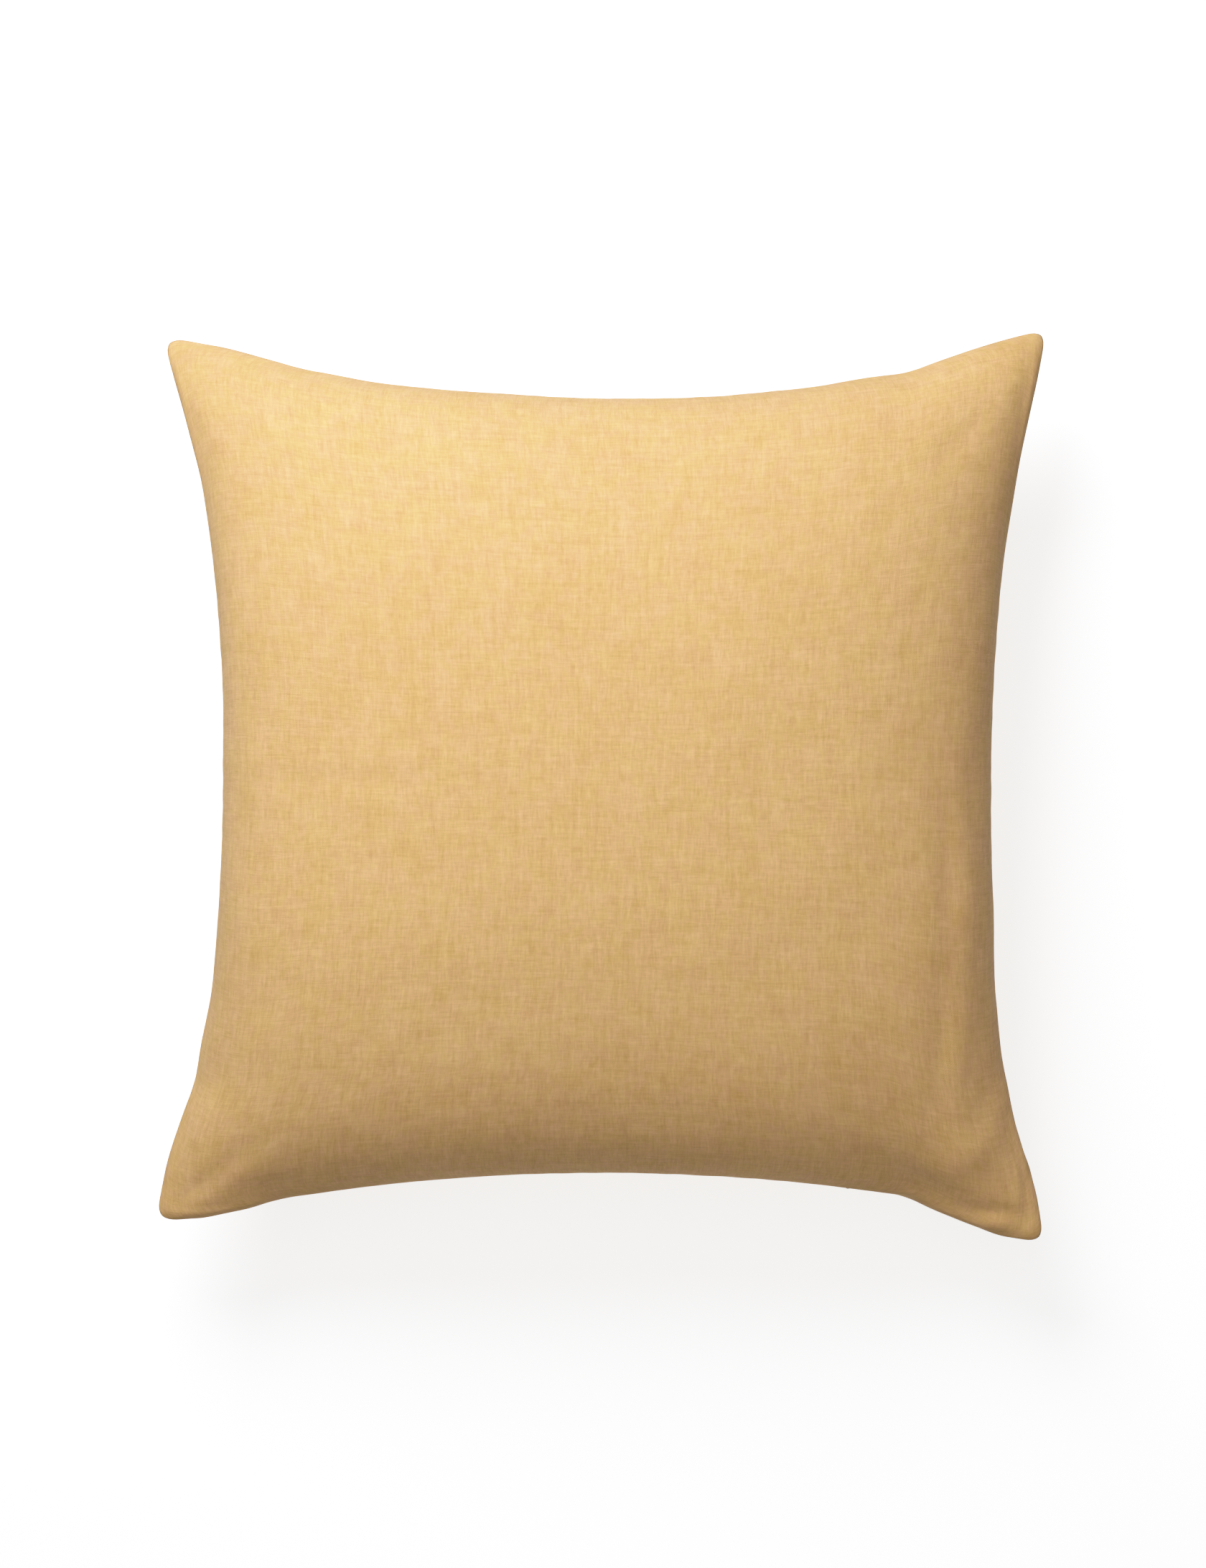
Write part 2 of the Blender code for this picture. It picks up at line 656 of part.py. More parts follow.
def build():
    clear_scene()
    linen_front = material("linen_front", (0.730, 0.500, 0.250), 0.90)
    linen_back = material("linen_back", (0.700, 0.475, 0.235), 0.90)
    thread = material("thread", (0.640, 0.450, 0.240), 0.80)
    tape = material("zip_tape", (0.560, 0.390, 0.200), 0.85)
    nylon = material("nylon_coil", (0.520, 0.370, 0.200), 0.45)
    metal = material("metal", (0.560, 0.540, 0.500), 0.32, 1.0)
    casing = material("casing_cotton", (0.860, 0.845, 0.810), 0.88)
    white_thread = material("white_thread", (0.900, 0.890, 0.870), 0.80)
    fill = material("fibre_fill", (0.930, 0.925, 0.910), 0.95)
    label_cloth = material("label_satin", (0.900, 0.890, 0.860), 0.55)

    cover_panel("cover_front_panel", FRONT, linen_front)
    cover_panel("cover_back_panel", BACK, linen_back)
    cover_overlock(thread)
    zip_tape("zip_tape_front", FRONT, tape)
    zip_tape("zip_tape_back", BACK, tape)
    zip_coil("zip_coil_front", FRONT, nylon)
    zip_coil("zip_coil_back", BACK, nylon)
    zip_ends(metal, thread)
    zip_pull(zip_slider(metal), metal)
    insert_panel("insert_front_panel", FRONT, casing)
    insert_panel("insert_back_panel", BACK, casing)
    insert_overlock(white_thread)
    insert_closing_stitch(white_thread)
    insert_filling(fill)
    labels(label_cloth)


build()
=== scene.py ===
"""A square linen throw pillow, lying on its back: a removable cover with a concealed zip along its
bottom seam, over a stuffed insert. +Z is out of its front face and +Y is towards its top edge."""

import functools
import json
import math

import bmesh
import bpy
import numpy as np
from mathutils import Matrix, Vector
from mathutils.bvhtree import BVHTree


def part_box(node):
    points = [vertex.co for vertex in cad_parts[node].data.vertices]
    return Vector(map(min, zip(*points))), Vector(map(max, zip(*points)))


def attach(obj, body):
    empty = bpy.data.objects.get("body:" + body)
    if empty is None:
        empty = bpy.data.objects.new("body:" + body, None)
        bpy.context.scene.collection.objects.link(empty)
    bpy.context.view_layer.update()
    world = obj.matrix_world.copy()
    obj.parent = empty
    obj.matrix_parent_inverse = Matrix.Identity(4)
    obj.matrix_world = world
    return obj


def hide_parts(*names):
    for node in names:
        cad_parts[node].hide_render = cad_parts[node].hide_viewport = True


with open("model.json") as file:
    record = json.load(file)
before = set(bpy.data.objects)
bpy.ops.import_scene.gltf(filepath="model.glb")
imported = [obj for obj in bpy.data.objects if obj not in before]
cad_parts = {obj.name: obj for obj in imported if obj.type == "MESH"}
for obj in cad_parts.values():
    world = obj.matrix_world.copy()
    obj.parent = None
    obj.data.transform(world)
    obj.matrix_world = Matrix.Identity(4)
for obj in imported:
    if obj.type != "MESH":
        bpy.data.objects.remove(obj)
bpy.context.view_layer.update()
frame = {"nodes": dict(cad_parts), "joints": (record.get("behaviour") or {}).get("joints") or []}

# The seam, as the frame has it.
WIDTH = 0.492
HEIGHT = 0.505
BOW_RADIUS = 1.050
DRAWN_IN = {"left": 0.0354, "right": 0.0290, "top": 0.0375, "bottom": 0.0380}
CORNER_SHIFT = {
    "bottom_left": Vector((-0.0020, 0.0100)),
    "bottom_right": Vector((0.0007, -0.0018)),
    "top_left": Vector((0.0020, -0.0028)),
    "top_right": Vector((0.0020, 0.0017)),
}
# How far out of its bow each side strays, at places along it.
STRAY = {
    "left": ((-0.232, 0.0010), (-0.205, 0.0026), (-0.150, 0.0028), (-0.110, 0.0002), (0.0, -0.0002),
             (0.060, -0.0016), (0.120, -0.0018), (0.200, -0.0014)),
    "right": ((-0.228, 0.0012), (-0.212, 0.0004), (-0.198, -0.0022), (-0.180, -0.0042), (-0.150, -0.0052),
              (-0.120, -0.0044), (-0.060, -0.0014), (0.0, -0.0008), (0.120, -0.0010), (0.170, 0.0),
              (0.225, 0.0008)),
    "top": ((-0.230, 0.0012), (-0.205, 0.0028), (-0.160, 0.0036), (-0.120, 0.0018), (-0.060, 0.0014),
            (0.0, 0.0), (0.060, -0.0006), (0.110, 0.0002), (0.150, 0.0018), (0.175, 0.0008), (0.200, 0.0003)),
    "bottom": ((-0.232, 0.0020), (-0.220, 0.0036), (-0.198, 0.0030), (-0.178, 0.0003), (-0.166, 0.0),
               (0.166, 0.0), (0.185, 0.0010), (0.205, 0.0014), (0.220, 0.0025), (0.234, 0.0010)),
}
CORNER_ROUND = 0.009
EAR_LENGTH = 0.078
FRONT_LOFT = 0.084
BACK_LOFT = 0.0885
PUFF = 2.5  # how square the stuffed section is: 2 would be an ellipse
EAR_FLATTER = 0.26  # how much sooner an ear falls to its seam than the sides do
FRONT, BACK = 1, -1

# Cloth and thread.
FABRIC = 0.0008
CASING = 0.0005
GAP = 0.0003
ALLOWANCE = 0.010
INSERT_ROOM = ALLOWANCE + 0.003
CASING_ALLOWANCE = 0.006
THREAD_RADIUS = 0.00022
COVER_CUT = (0.506, 0.516)  # the cover's panels between their seams, laid flat
INSERT_CUT = (0.500, 0.505)

# The zip's slit, and how its folds turn in.
SLIT_HALF = WIDTH / 2.0 - EAR_LENGTH - 0.008
SLIT_CLOSE = 0.003
FOLD_MOUTH = 0.0042
FOLD_DEPTH = 0.0030
SLIT_GAP = 0.0018

CELLS = 100  # squares of cloth from seam to seam
INNER_CELLS = 48  # the same for the insert, inside
SIM_FRAMES = 24
SIM_REACH = 0.014  # how far the cloth may move from where it starts
HALF_SECTION = 0.21  # half the pillow's width at its waist
REST_SOFTNESS = 0.0015  # how high above the floor the cloth begins to flatten

# The joints say where the zip turns.

JOINTS = {joint["name"]: joint for joint in frame["joints"]}
ZIP_CENTRE = Vector(JOINTS["zip_run"]["pos_m"])
SEAM_HEIGHT = ZIP_CENTRE.z


# The outline.


def corners(inset):
    """The four corners of the outline drawn in by inset, before their rounding."""
    moved = {}
    for key, shift in CORNER_SHIFT.items():
        across = 1.0 if key.endswith("right") else -1.0
        up = 1.0 if key.startswith("top") else -1.0
        square = Vector((across * (WIDTH / 2.0 - inset), up * (HEIGHT / 2.0 - inset)))
        moved[key] = square + shift
    return moved


def bow(along, middle, inset):
    """How far out a drawn-in side lies: an arc, middle at its waist."""
    return middle + BOW_RADIUS - math.sqrt((BOW_RADIUS + inset) ** 2 - along**2)


def ear(along, start, end):
    """The share of its corner's reach that a side has taken up, from 0 at start to 1 at end."""
    t = min(max((abs(along) - start) / (end - start), 0.0), 1.0)
    return t * (2.0 - t)


def stray(side, along, first, last):
    """How far out of its bow a side lies; nothing at its ends, first and last."""
    knots = [(first, 0.0), *[knot for knot in STRAY[side] if first < knot[0] < last], (last, 0.0)]
    for (low, out_low), (high, out_high) in zip(knots, knots[1:]):
        if along <= high:
            t = max((along - low) / (high - low), 0.0)
            return out_low + (out_high - out_low) * t * t * (3.0 - 2.0 * t)
    return 0.0


def side_reach(side, k, low, high, inset):
    """A place on one side: how far along it and how far out, for k from -1 to 1.

    low and high are its corners as (along, outwards) pairs."""
    rounding = max(CORNER_ROUND - inset, 0.2 * CORNER_ROUND)
    tip = rounding * (1.0 - math.sqrt(0.5))
    first, last = low[0] + tip, high[0] - tip
    along = first + (last - first) * (k + 1.0) / 2.0
    corner = high if along > 0.0 else low
    end = abs(corner[0])
    middle = (HEIGHT if side in ("top", "bottom") else WIDTH) / 2.0 - DRAWN_IN[side]
    drawn = bow(along, middle, inset) + stray(side, along, first, last)
    drawn += (corner[1] - bow(end - tip, middle, inset)) * ear(along, end - EAR_LENGTH, end - tip)
    left = max(rounding - (end - abs(along)), 0.0)
    return along, drawn - (rounding - math.sqrt(rounding**2 - left**2))


@functools.lru_cache(maxsize=None)
def side_point(side, k, inset):
    """A place on the seam, k from -1 to 1 along a side, before it is centred."""
    at = corners(inset)
    if side in ("top", "bottom"):
        ends = [at[f"{side}_left"], at[f"{side}_right"]]
        pairs = [(end.x, abs(end.y)) for end in ends]
        along, out = side_reach(side, k, *pairs, inset)
        return Vector((along, out if side == "top" else -out))
    ends = [at[f"bottom_{side}"], at[f"top_{side}"]]
    pairs = [(end.y, abs(end.x)) for end in ends]
    along, out = side_reach(side, k, *pairs, inset)
    return Vector((out if side == "right" else -out, along))


def outline_shift():
    """What centres the outline on the frame's own box of the cover."""
    low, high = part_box("cover_front_panel")
    steps = [i / 200.0 - 1.0 for i in range(401)]
    ring = [side_point(side, k, 0.0) for side in DRAWN_IN for k in steps]
    xs, ys = [p.x for p in ring], [p.y for p in ring]
    drawn = Vector((min(xs) + max(xs), min(ys) + max(ys))) / 2.0
    return Vector(((low[0] + high[0]) / 2.0, (low[1] + high[1]) / 2.0)) - drawn


SHIFT = outline_shift()


def edge_point(side, k, inset):
    return side_point(side, k, inset) + SHIFT


@functools.lru_cache(maxsize=None)
def plan(a, b, inset):
    """A place inside the seam, blended from its four sides, a across and b up from -1 to 1."""
    low, high = side_point("bottom", a, inset), side_point("top", a, inset)
    left, right = side_point("left", b, inset), side_point("right", b, inset)
    across, up = (a + 1.0) / 2.0, (b + 1.0) / 2.0
    flat = low.lerp(high, up) + left.lerp(right, across)
    ends = [side_point(side, k, inset) for side in ("bottom", "top") for k in (-1.0, 1.0)]
    return flat - ends[0].lerp(ends[1], across).lerp(ends[2].lerp(ends[3], across), up) + SHIFT


def side_k(side, along):
    """The k of the place that lies this far along a side from the pillow's middle."""
    first, last = side_point(side, -1.0, 0.0), side_point(side, 1.0, 0.0)
    axis = 0 if side in ("top", "bottom") else 1
    return 2.0 * (along - first[axis]) / (last[axis] - first[axis]) - 1.0


def swell(k, flatter=0.0):
    return max(1.0 - abs(k) ** PUFF, 0.0) ** (1.0 / PUFF + flatter)


def smooth(low, high, value):
    """0 below low, 1 above high, and an S between them."""
    t = np.clip((value - low) / (high - low), 0.0, 1.0)
    return t * t * (3.0 - 2.0 * t)


def raised(a, b):
    """How high the stuffing lifts a place, from 0 to 1: the ears lie flatter than the rest."""
    flatter = EAR_FLATTER * smooth(0.20, 0.96, abs(a * b))
    return swell(a, flatter) * swell(b, flatter)


# How the flat cloth lies over the stuffed shape before it settles.


def even_steps(cells, half_width, loft):
    """Places across the section that lie evenly along its arc."""
    fine = np.sin(np.linspace(-0.5, 0.5, 2001) * math.pi)
    height = loft * np.array([swell(k) for k in fine])
    run = np.hypot(np.diff(fine * half_width), np.diff(height))
    gone = np.concatenate([[0.0], np.cumsum(run)])
    return np.interp(np.linspace(0.0, gone[-1], cells + 1), gone, fine)


def laid_cloth(face, cells, inset, drop):
    """The start of one face: an array of places, [across, up]."""
    loft = (FRONT_LOFT if face == FRONT else BACK_LOFT) - drop
    even = np.linspace(-1.0, 1.0, cells + 1)
    arced = even_steps(cells, HALF_SECTION, loft)
    places = np.zeros((cells + 1, cells + 1, 3))
    for i in range(cells + 1):
        for j in range(cells + 1):
            a = even[i] + (arced[i] - even[i]) * swell(even[j])
            b = even[j] + (arced[j] - even[j]) * swell(even[i])
            if i in (0, cells) or j in (0, cells):
                a, b = even[i], even[j]
            spot = plan(round(float(a), 9), round(float(b), 9), inset)
            height = SEAM_HEIGHT + face * loft * raised(a, b)
            places[i, j] = (spot.x, spot.y, max(height, drop))
    return places


def grid_numbers(bm, cells, face, layers):
    """Adds one face's grid to bm, and writes each corner's place in it to the layers."""
    made = bmesh.ops.create_grid(bm, x_segments=cells, y_segments=cells, size=1.0)["verts"]
    for v in made:
        v[layers["across"]] = round((v.co.x + 1.0) / 2.0 * cells)
        v[layers["up"]] = round((v.co.y + 1.0) / 2.0 * cells)
        v[layers["face"]] = face
    return made


def number_layers(bm, *names):
    return {name: bm.verts.layers.int.new(name) for name in names}


def settle(starts, cut):
    """Lets the two flat panels, sewn together round their edge, fill out over the stuffing."""
    cells = len(starts[FRONT]) - 1
    bm = bmesh.new()
    layers = number_layers(bm, "across", "up", "face")
    for face in (FRONT, BACK):
        made = grid_numbers(bm, cells, face, layers)
        if face == BACK:
            bmesh.ops.reverse_faces(bm, faces=list({f for v in made for f in v.link_faces}))
        for v in made:
            v.co = starts[face][v[layers["across"]], v[layers["up"]]]
    bmesh.ops.remove_doubles(bm, verts=[v for v in bm.verts if v.is_boundary], dist=1e-5)
    bm.verts.index_update()
    numbers = [(v[layers["across"]], v[layers["up"]], v[layers["face"]]) for v in bm.verts]
    mesh = bpy.data.meshes.new("settling")
    bm.to_mesh(mesh)
    bm.free()
    cloth = bpy.data.objects.new("settling", mesh)
    bpy.context.collection.objects.link(cloth)

    def on_seam(i, j):
        return i in (0, cells) or j in (0, cells)

    seam = cloth.vertex_groups.new(name="seam")
    seam.add([n for n, (i, j, _) in enumerate(numbers) if on_seam(i, j)], 1.0, "REPLACE")
    cloth.shape_key_add(name="as worn")
    flat = cloth.shape_key_add(name="as cut")
    for n, (i, j, _) in enumerate(numbers):
        flat.data[n].co = ((i / cells - 0.5) * cut[0], (j / cells - 0.5) * cut[1], SEAM_HEIGHT)
    flat.value = 0.0
    settings = cloth.modifiers.new("Cloth", "CLOTH")
    fill_cloth(settings, seam.name, flat)
    scene = bpy.context.scene
    for number in range(1, SIM_FRAMES + 1):
        scene.frame_set(number)
    shown = cloth.evaluated_get(bpy.context.evaluated_depsgraph_get())
    settled = np.array([v.co[:] for v in shown.data.vertices])
    bpy.data.objects.remove(cloth)
    scene.frame_set(1)
    results = {face: starts[face].copy() for face in (FRONT, BACK)}
    for (i, j, face), place in zip(numbers, settled):
        for side in (FRONT, BACK) if on_seam(i, j) else (face,):
            results[side][i, j] = place
    return results


def fill_cloth(modifier, seam, flat):
    cloth = modifier.settings
    cloth.quality = 6
    cloth.mass = 0.25
    cloth.tension_stiffness = cloth.compression_stiffness = 30.0
    cloth.shear_stiffness = 12.0
    cloth.bending_stiffness = 2.0
    cloth.tension_damping = cloth.compression_damping = cloth.shear_damping = 8.0
    cloth.bending_damping = 2.0
    cloth.air_damping = 2.0
    cloth.use_pressure = True
    cloth.uniform_pressure_force = 4.0
    cloth.vertex_group_mass = seam
    cloth.rest_shape_key = flat
    cloth.effector_weights.gravity = 0.0
    modifier.collision_settings.use_collision = False
    modifier.collision_settings.use_self_collision = False
    modifier.point_cache.frame_end = SIM_FRAMES


def held_back(settled, start):
    """Limits how far the cloth may leave the stuffed shape."""
    moved = settled - start
    length = np.linalg.norm(moved, axis=2, keepdims=True)
    return start + moved / np.sqrt(1.0 + (length / SIM_REACH) ** 2)


def rested(places):
    """The cloth on the surface that the pillow lies on."""
    z, soft = places[..., 2], REST_SOFTNESS
    places[..., 2] = np.where(z > soft, z, soft * np.exp(np.minimum(z - soft, 0.0) / soft))
    return places


# Creases and soft folds in the front: where each lies, which way it runs in degrees, how long and how
# wide it is, and how far it stands up or sinks in.
FRONT_FOLDS = (
    (-0.150, 0.0045, 0.0, 0.055, 0.0042, -0.0007),
    (-0.135, 0.0130, 2.0, 0.060, 0.0060, 0.0004),
    (0.183, -0.2250, -22.0, 0.020, 0.0085, -0.0040),
    (0.166, -0.2120, -15.0, 0.030, 0.0095, -0.0010),
    (0.217, -0.2358, -6.0, 0.017, 0.0030, -0.0020),
    (0.219, -0.2425, -10.0, 0.009, 0.0030, 0.0016),
    (0.2225, -0.2488, -12.0, 0.006, 0.0024, -0.0014),
    (0.2310, -0.2240, 92.0, 0.013, 0.0024, 0.0011),
    (0.2370, -0.2190, 104.0, 0.012, 0.0024, -0.0010),
    (0.207, -0.2030, 20.0, 0.012, 0.0080, 0.0011),
    (0.206, -0.1950, 62.0, 0.026, 0.0100, 0.0020),
    (0.197, -0.1480, 86.0, 0.045, 0.0070, 0.0013),
    (0.187, -0.1300, 88.0, 0.050, 0.0060, -0.0010),
    (0.200, -0.0600, 92.0, 0.040, 0.0065, 0.0010),
    (0.190, -0.0350, 90.0, 0.045, 0.0060, -0.0009),
    (0.204, -0.0050, 88.0, 0.030, 0.0055, -0.0008),
    (0.212, -0.1780, 70.0, 0.020, 0.0060, -0.0014),
    (-0.206, -0.2080, 38.0, 0.022, 0.0070, -0.0014),
    (-0.224, -0.2240, 40.0, 0.014, 0.0060, -0.0016),
    (-0.222, -0.1900, 68.0, 0.020, 0.0060, 0.0013),
    (-0.186, -0.2220, 12.0, 0.020, 0.0060, -0.0012),
    (-0.212, -0.1560, 74.0, 0.028, 0.0080, -0.0012),
    (-0.228, -0.2320, 42.0, 0.012, 0.0050, 0.0010),
    (-0.196, 0.1900, -40.0, 0.026, 0.0080, -0.0009),
    (-0.218, 0.2050, -48.0, 0.020, 0.0060, 0.0008),
    (0.200, 0.1930, 46.0, 0.028, 0.0075, -0.0012),
    (0.224, 0.2180, 60.0, 0.020, 0.0060, 0.0009),
    (0.120, -0.0900, 25.0, 0.070, 0.0220, -0.0008),
    (-0.080, 0.1100, -12.0, 0.080, 0.0260, 0.0008),
    (-0.060, -0.1200, 6.0, 0.080, 0.0240, -0.0007),
    (0.070, 0.0600, 80.0, 0.070, 0.0240, 0.0006),
)
BACK_FOLDS = (
    (-0.200, -0.2000, 44.0, 0.030, 0.0090, -0.0016),
    (0.198, -0.1960, -42.0, 0.030, 0.0090, -0.0018),
    (0.204, 0.2000, 44.0, 0.028, 0.0090, -0.0014),
    (-0.202, 0.1980, -46.0, 0.028, 0.0090, -0.0014),
    (0.130, -0.1700, 8.0, 0.040, 0.0080, 0.0010),
    (-0.140, 0.1650, 12.0, 0.045, 0.0080, 0.0010),
    (-0.175, -0.0600, 84.0, 0.050, 0.0070, -0.0010),
    (0.178, 0.0400, 95.0, 0.050, 0.0070, -0.0010),
)
RIDGE = 0.0008  # how far the turned-in allowances lift the cloth of the ears
RIDGE_ENDS = (0.0095, 0.0145)  # where the lift fades, counted from the seam
PUCKER = 0.00032
PUCKER_STEP = 0.017  # from one pucker to the next
PUCKER_REACH = 0.011


def outward(places, face):
    """The cloth's own direction outwards at each place."""
    across, up = np.gradient(places, axis=0), np.gradient(places, axis=1)
    normal = np.cross(across, up) * face
    return normal / np.maximum(np.linalg.norm(normal, axis=2, keepdims=True), 1e-9)


def folded(places, face, folds):
    """Adds the creases, the ridge over the seam allowances, and the pucker beside the stitching."""
    cells = len(places) - 1
    even = np.linspace(-1.0, 1.0, cells + 1)
    a, b = np.meshgrid(even, even, indexing="ij")
    x, y = places[..., 0], places[..., 1]
    rise = np.zeros_like(x)
    for at_x, at_y, turn, length, width, height in folds:
        turn = math.radians(turn)
        along = (x - at_x) * math.cos(turn) + (y - at_y) * math.sin(turn)
        beside = (y - at_y) * math.cos(turn) - (x - at_x) * math.sin(turn)
        rise += height * np.exp(-((along / length) ** 2) - (beside / width) ** 2)
    from_side = (1.0 - np.abs(a)) * COVER_CUT[0] / 2.0
    from_end = (1.0 - np.abs(b)) * COVER_CUT[1] / 2.0
    from_seam = np.minimum(from_side, from_end)
    in_ear = smooth(0.40, 0.80, np.abs(a * b))
    rise += RIDGE * in_ear * (1.0 - smooth(*RIDGE_ENDS, from_seam))
    along = np.where(from_side < from_end, y, x) + 0.3 * face
    drift = 2.4 * np.sin(along * 41.0) + np.sin(along * 97.0)
    wave = np.sin(along * 2.0 * math.pi / PUCKER_STEP + drift)
    rise += PUCKER * wave * np.exp(-from_seam / PUCKER_REACH) * (0.6 + 0.4 * np.sin(along * 23.0))
    rise[0, :] = rise[-1, :] = rise[:, 0] = rise[:, -1] = 0.0
    return places + outward(places, face) * rise[..., None]


def cover_faces():
    """The cover's two faces as it lies stuffed, each an array of places, [across, up]."""
    starts = {face: laid_cloth(face, CELLS, 0.0, 0.0) for face in (FRONT, BACK)}
    faces = starts
    settled = settle(starts, COVER_CUT)
    faces = {face: held_back(settled[face], starts[face]) for face in (FRONT, BACK)}
    faces[FRONT] = folded(faces[FRONT], FRONT, FRONT_FOLDS)
    faces[BACK] = rested(folded(faces[BACK], BACK, BACK_FOLDS))
    return faces


# Panels.


def rim_place(side, k, depth, height):
    """A place depth in from the outline and height above the seam."""
    return Vector((*edge_point(side, k, depth), SEAM_HEIGHT + height))


def rim_side(i, j, cells):
    """Which side of the seam a corner of the grid lies on, and how far along it."""
    if j in (0, cells):
        return ("bottom" if j == 0 else "top"), 2.0 * i / cells - 1.0
    return ("left" if i == 0 else "right"), 2.0 * j / cells - 1.0


def finished(name, bm, surface, wall, levels):
    """Makes the bmesh a piece of the pillow, with a wall's thickness and a last subdivision."""
    mesh = bpy.data.meshes.new(name)
    bm.to_mesh(mesh)
    bm.free()
    mesh.materials.append(surface)
    mesh.shade_smooth()
    piece = bpy.data.objects.new(name, mesh)
    bpy.context.collection.objects.link(piece)
    if wall:
        thick = piece.modifiers.new("Wall", "SOLIDIFY")
        thick.thickness, thick.offset = wall, -1.0
    if levels:
        fine = piece.modifiers.new("Fine", "SUBSURF")
        fine.levels = fine.render_levels = levels
    return piece


def panel(name, face, places, lips, cut, surface, wall, levels=1):
    """One panel of cloth: its face, and its allowance turned in through lips.

    lips are functions of a side and k that give (depth, height) from the seam."""
    cells = len(places) - 1
    bm = bmesh.new()
    layers = number_layers(bm, "across", "up", "face", "turn")
    grid_numbers(bm, cells, face, layers)
    edge = [e for e in bm.edges if e.is_boundary]
    for turn in range(1, len(lips) + 1):
        made = bmesh.ops.extrude_edge_only(bm, edges=edge)["geom"]
        new = {g for g in made if isinstance(g, bmesh.types.BMVert)}
        for v in new:
            v[layers["turn"]] = turn
        edge = [g for g in made if isinstance(g, bmesh.types.BMEdge) and set(g.verts) <= new]
    flat = {}
    for v in bm.verts:
        i, j, turn = v[layers["across"]], v[layers["up"]], v[layers["turn"]]
        u, w = 2.0 * i / cells - 1.0, 2.0 * j / cells - 1.0
        out = 0.5 * ALLOWANCE * turn
        flat[v] = (
            u * cut[0] / 2.0 + out * (u == 1.0) - out * (u == -1.0),
            w * cut[1] / 2.0 + out * (w == 1.0) - out * (w == -1.0),
        )
        if turn:
            rim = rim_side(i, j, cells)
            depth, height = lips[turn - 1](*rim)
            v.co = rim_place(*rim, depth, face * height)
        else:
            v.co = places[i, j]
    uv = bm.loops.layers.uv.new("cloth")
    for f in bm.faces:
        for loop in f.loops:
            loop[uv].uv = flat[loop.vert]
    bmesh.ops.recalc_face_normals(bm, faces=bm.faces)
    middle = min(bm.faces, key=lambda f: (f.calc_center_median().xy).length)
    if middle.normal.z * face < 0.0:
        bmesh.ops.reverse_faces(bm, faces=bm.faces)
    return finished(name, bm, surface, wall, levels)


def in_slit(side, k):
    """How open the zip's slit is at a place on the seam, from 0 to 1."""
    if side != "bottom":
        return 0.0
    along = abs(edge_point("bottom", k, 0.0).x - SHIFT.x)
    return 1.0 - smooth(SLIT_HALF, SLIT_HALF + SLIT_CLOSE, along)


def cover_lip(open_place, shut_place):
    """Where one fold of the cover's edge lies, as (depth, height): along the slit, and elsewhere."""

    def at(side, k):
        share = in_slit(side, k)
        return tuple(shut + (wide - shut) * share for wide, shut in zip(open_place, shut_place))

    return at


LIP = 0.0012  # how far in from the outline a seam's first fold lies
COVER_LIPS = [
    cover_lip((0.0009, FOLD_MOUTH - 0.0012), (LIP, GAP / 2.0)),
    cover_lip((FOLD_DEPTH, SLIT_GAP / 2.0), (ALLOWANCE, GAP / 2.0)),
]


def opened(places, face):
    """Lifts the cloth along the slit, where its fold stands off the zip."""
    cells = len(places) - 1
    rows = 6
    for i in range(1, cells):
        share = in_slit("bottom", 2.0 * i / cells - 1.0)
        for j in range(rows):
            places[i, j, 2] += face * share * FOLD_MOUTH * (1.0 - j / rows) ** 1.5
    return places


def closed_rim(places, face):
    """Sets a panel's edge half a gap off its fellow's."""
    cells = len(places) - 1
    for i in range(cells + 1):
        for j in (0, cells) if 0 < i < cells else range(cells + 1):
            places[i, j, 2] += face * GAP / 2.0
    return places


# Shader maths.


class Wire:
    """A shader socket. Arithmetic on it adds Math nodes."""

    def __init__(self, finish, socket):
        self.finish, self.socket = finish, socket

    def maths(self, operation, *values):
        return self.finish.node("ShaderNodeMath", {"operation": operation}, dict(enumerate(values)))

    def __add__(self, other):
        return self.maths("ADD", self, other)

    def __sub__(self, other):
        return self.maths("SUBTRACT", self, other)

    def __rsub__(self, other):
        return self.maths("SUBTRACT", other, self)

    def __mul__(self, other):
        return self.maths("MULTIPLY", self, other)

    def __truediv__(self, other):
        return self.maths("DIVIDE", self, other)

    __radd__, __rmul__ = __add__, __mul__

    def sine(self):
        return self.maths("SINE", self)

    def size(self):
        return self.maths("ABSOLUTE", self)

    def above(self, other):
        return self.maths("GREATER_THAN", self, other)


class Nodes:
    """A tree of shader nodes, and the way that they are added."""

    def __init__(self, tree):
        self.tree = tree

    def feed(self, socket, value):
        if isinstance(value, Wire):
            self.tree.links.new(value.socket, socket)
        else:
            socket.default_value = value

    def node(self, kind, settings, sockets, out=0):
        """Adds a node: its type, its settings, and its sockets' values or links."""
        made = self.tree.nodes.new(kind)
        for key, value in settings.items():
            setattr(made, key, value)
        for key, value in sockets.items():
            self.feed(made.inputs[key], value)
        return Wire(self, made.outputs[out])

    def split(self, vector):
        first = self.node("ShaderNodeSeparateXYZ", {}, {0: vector})
        node = first.socket.node
        return [Wire(self, node.outputs[n]) for n in range(3)]


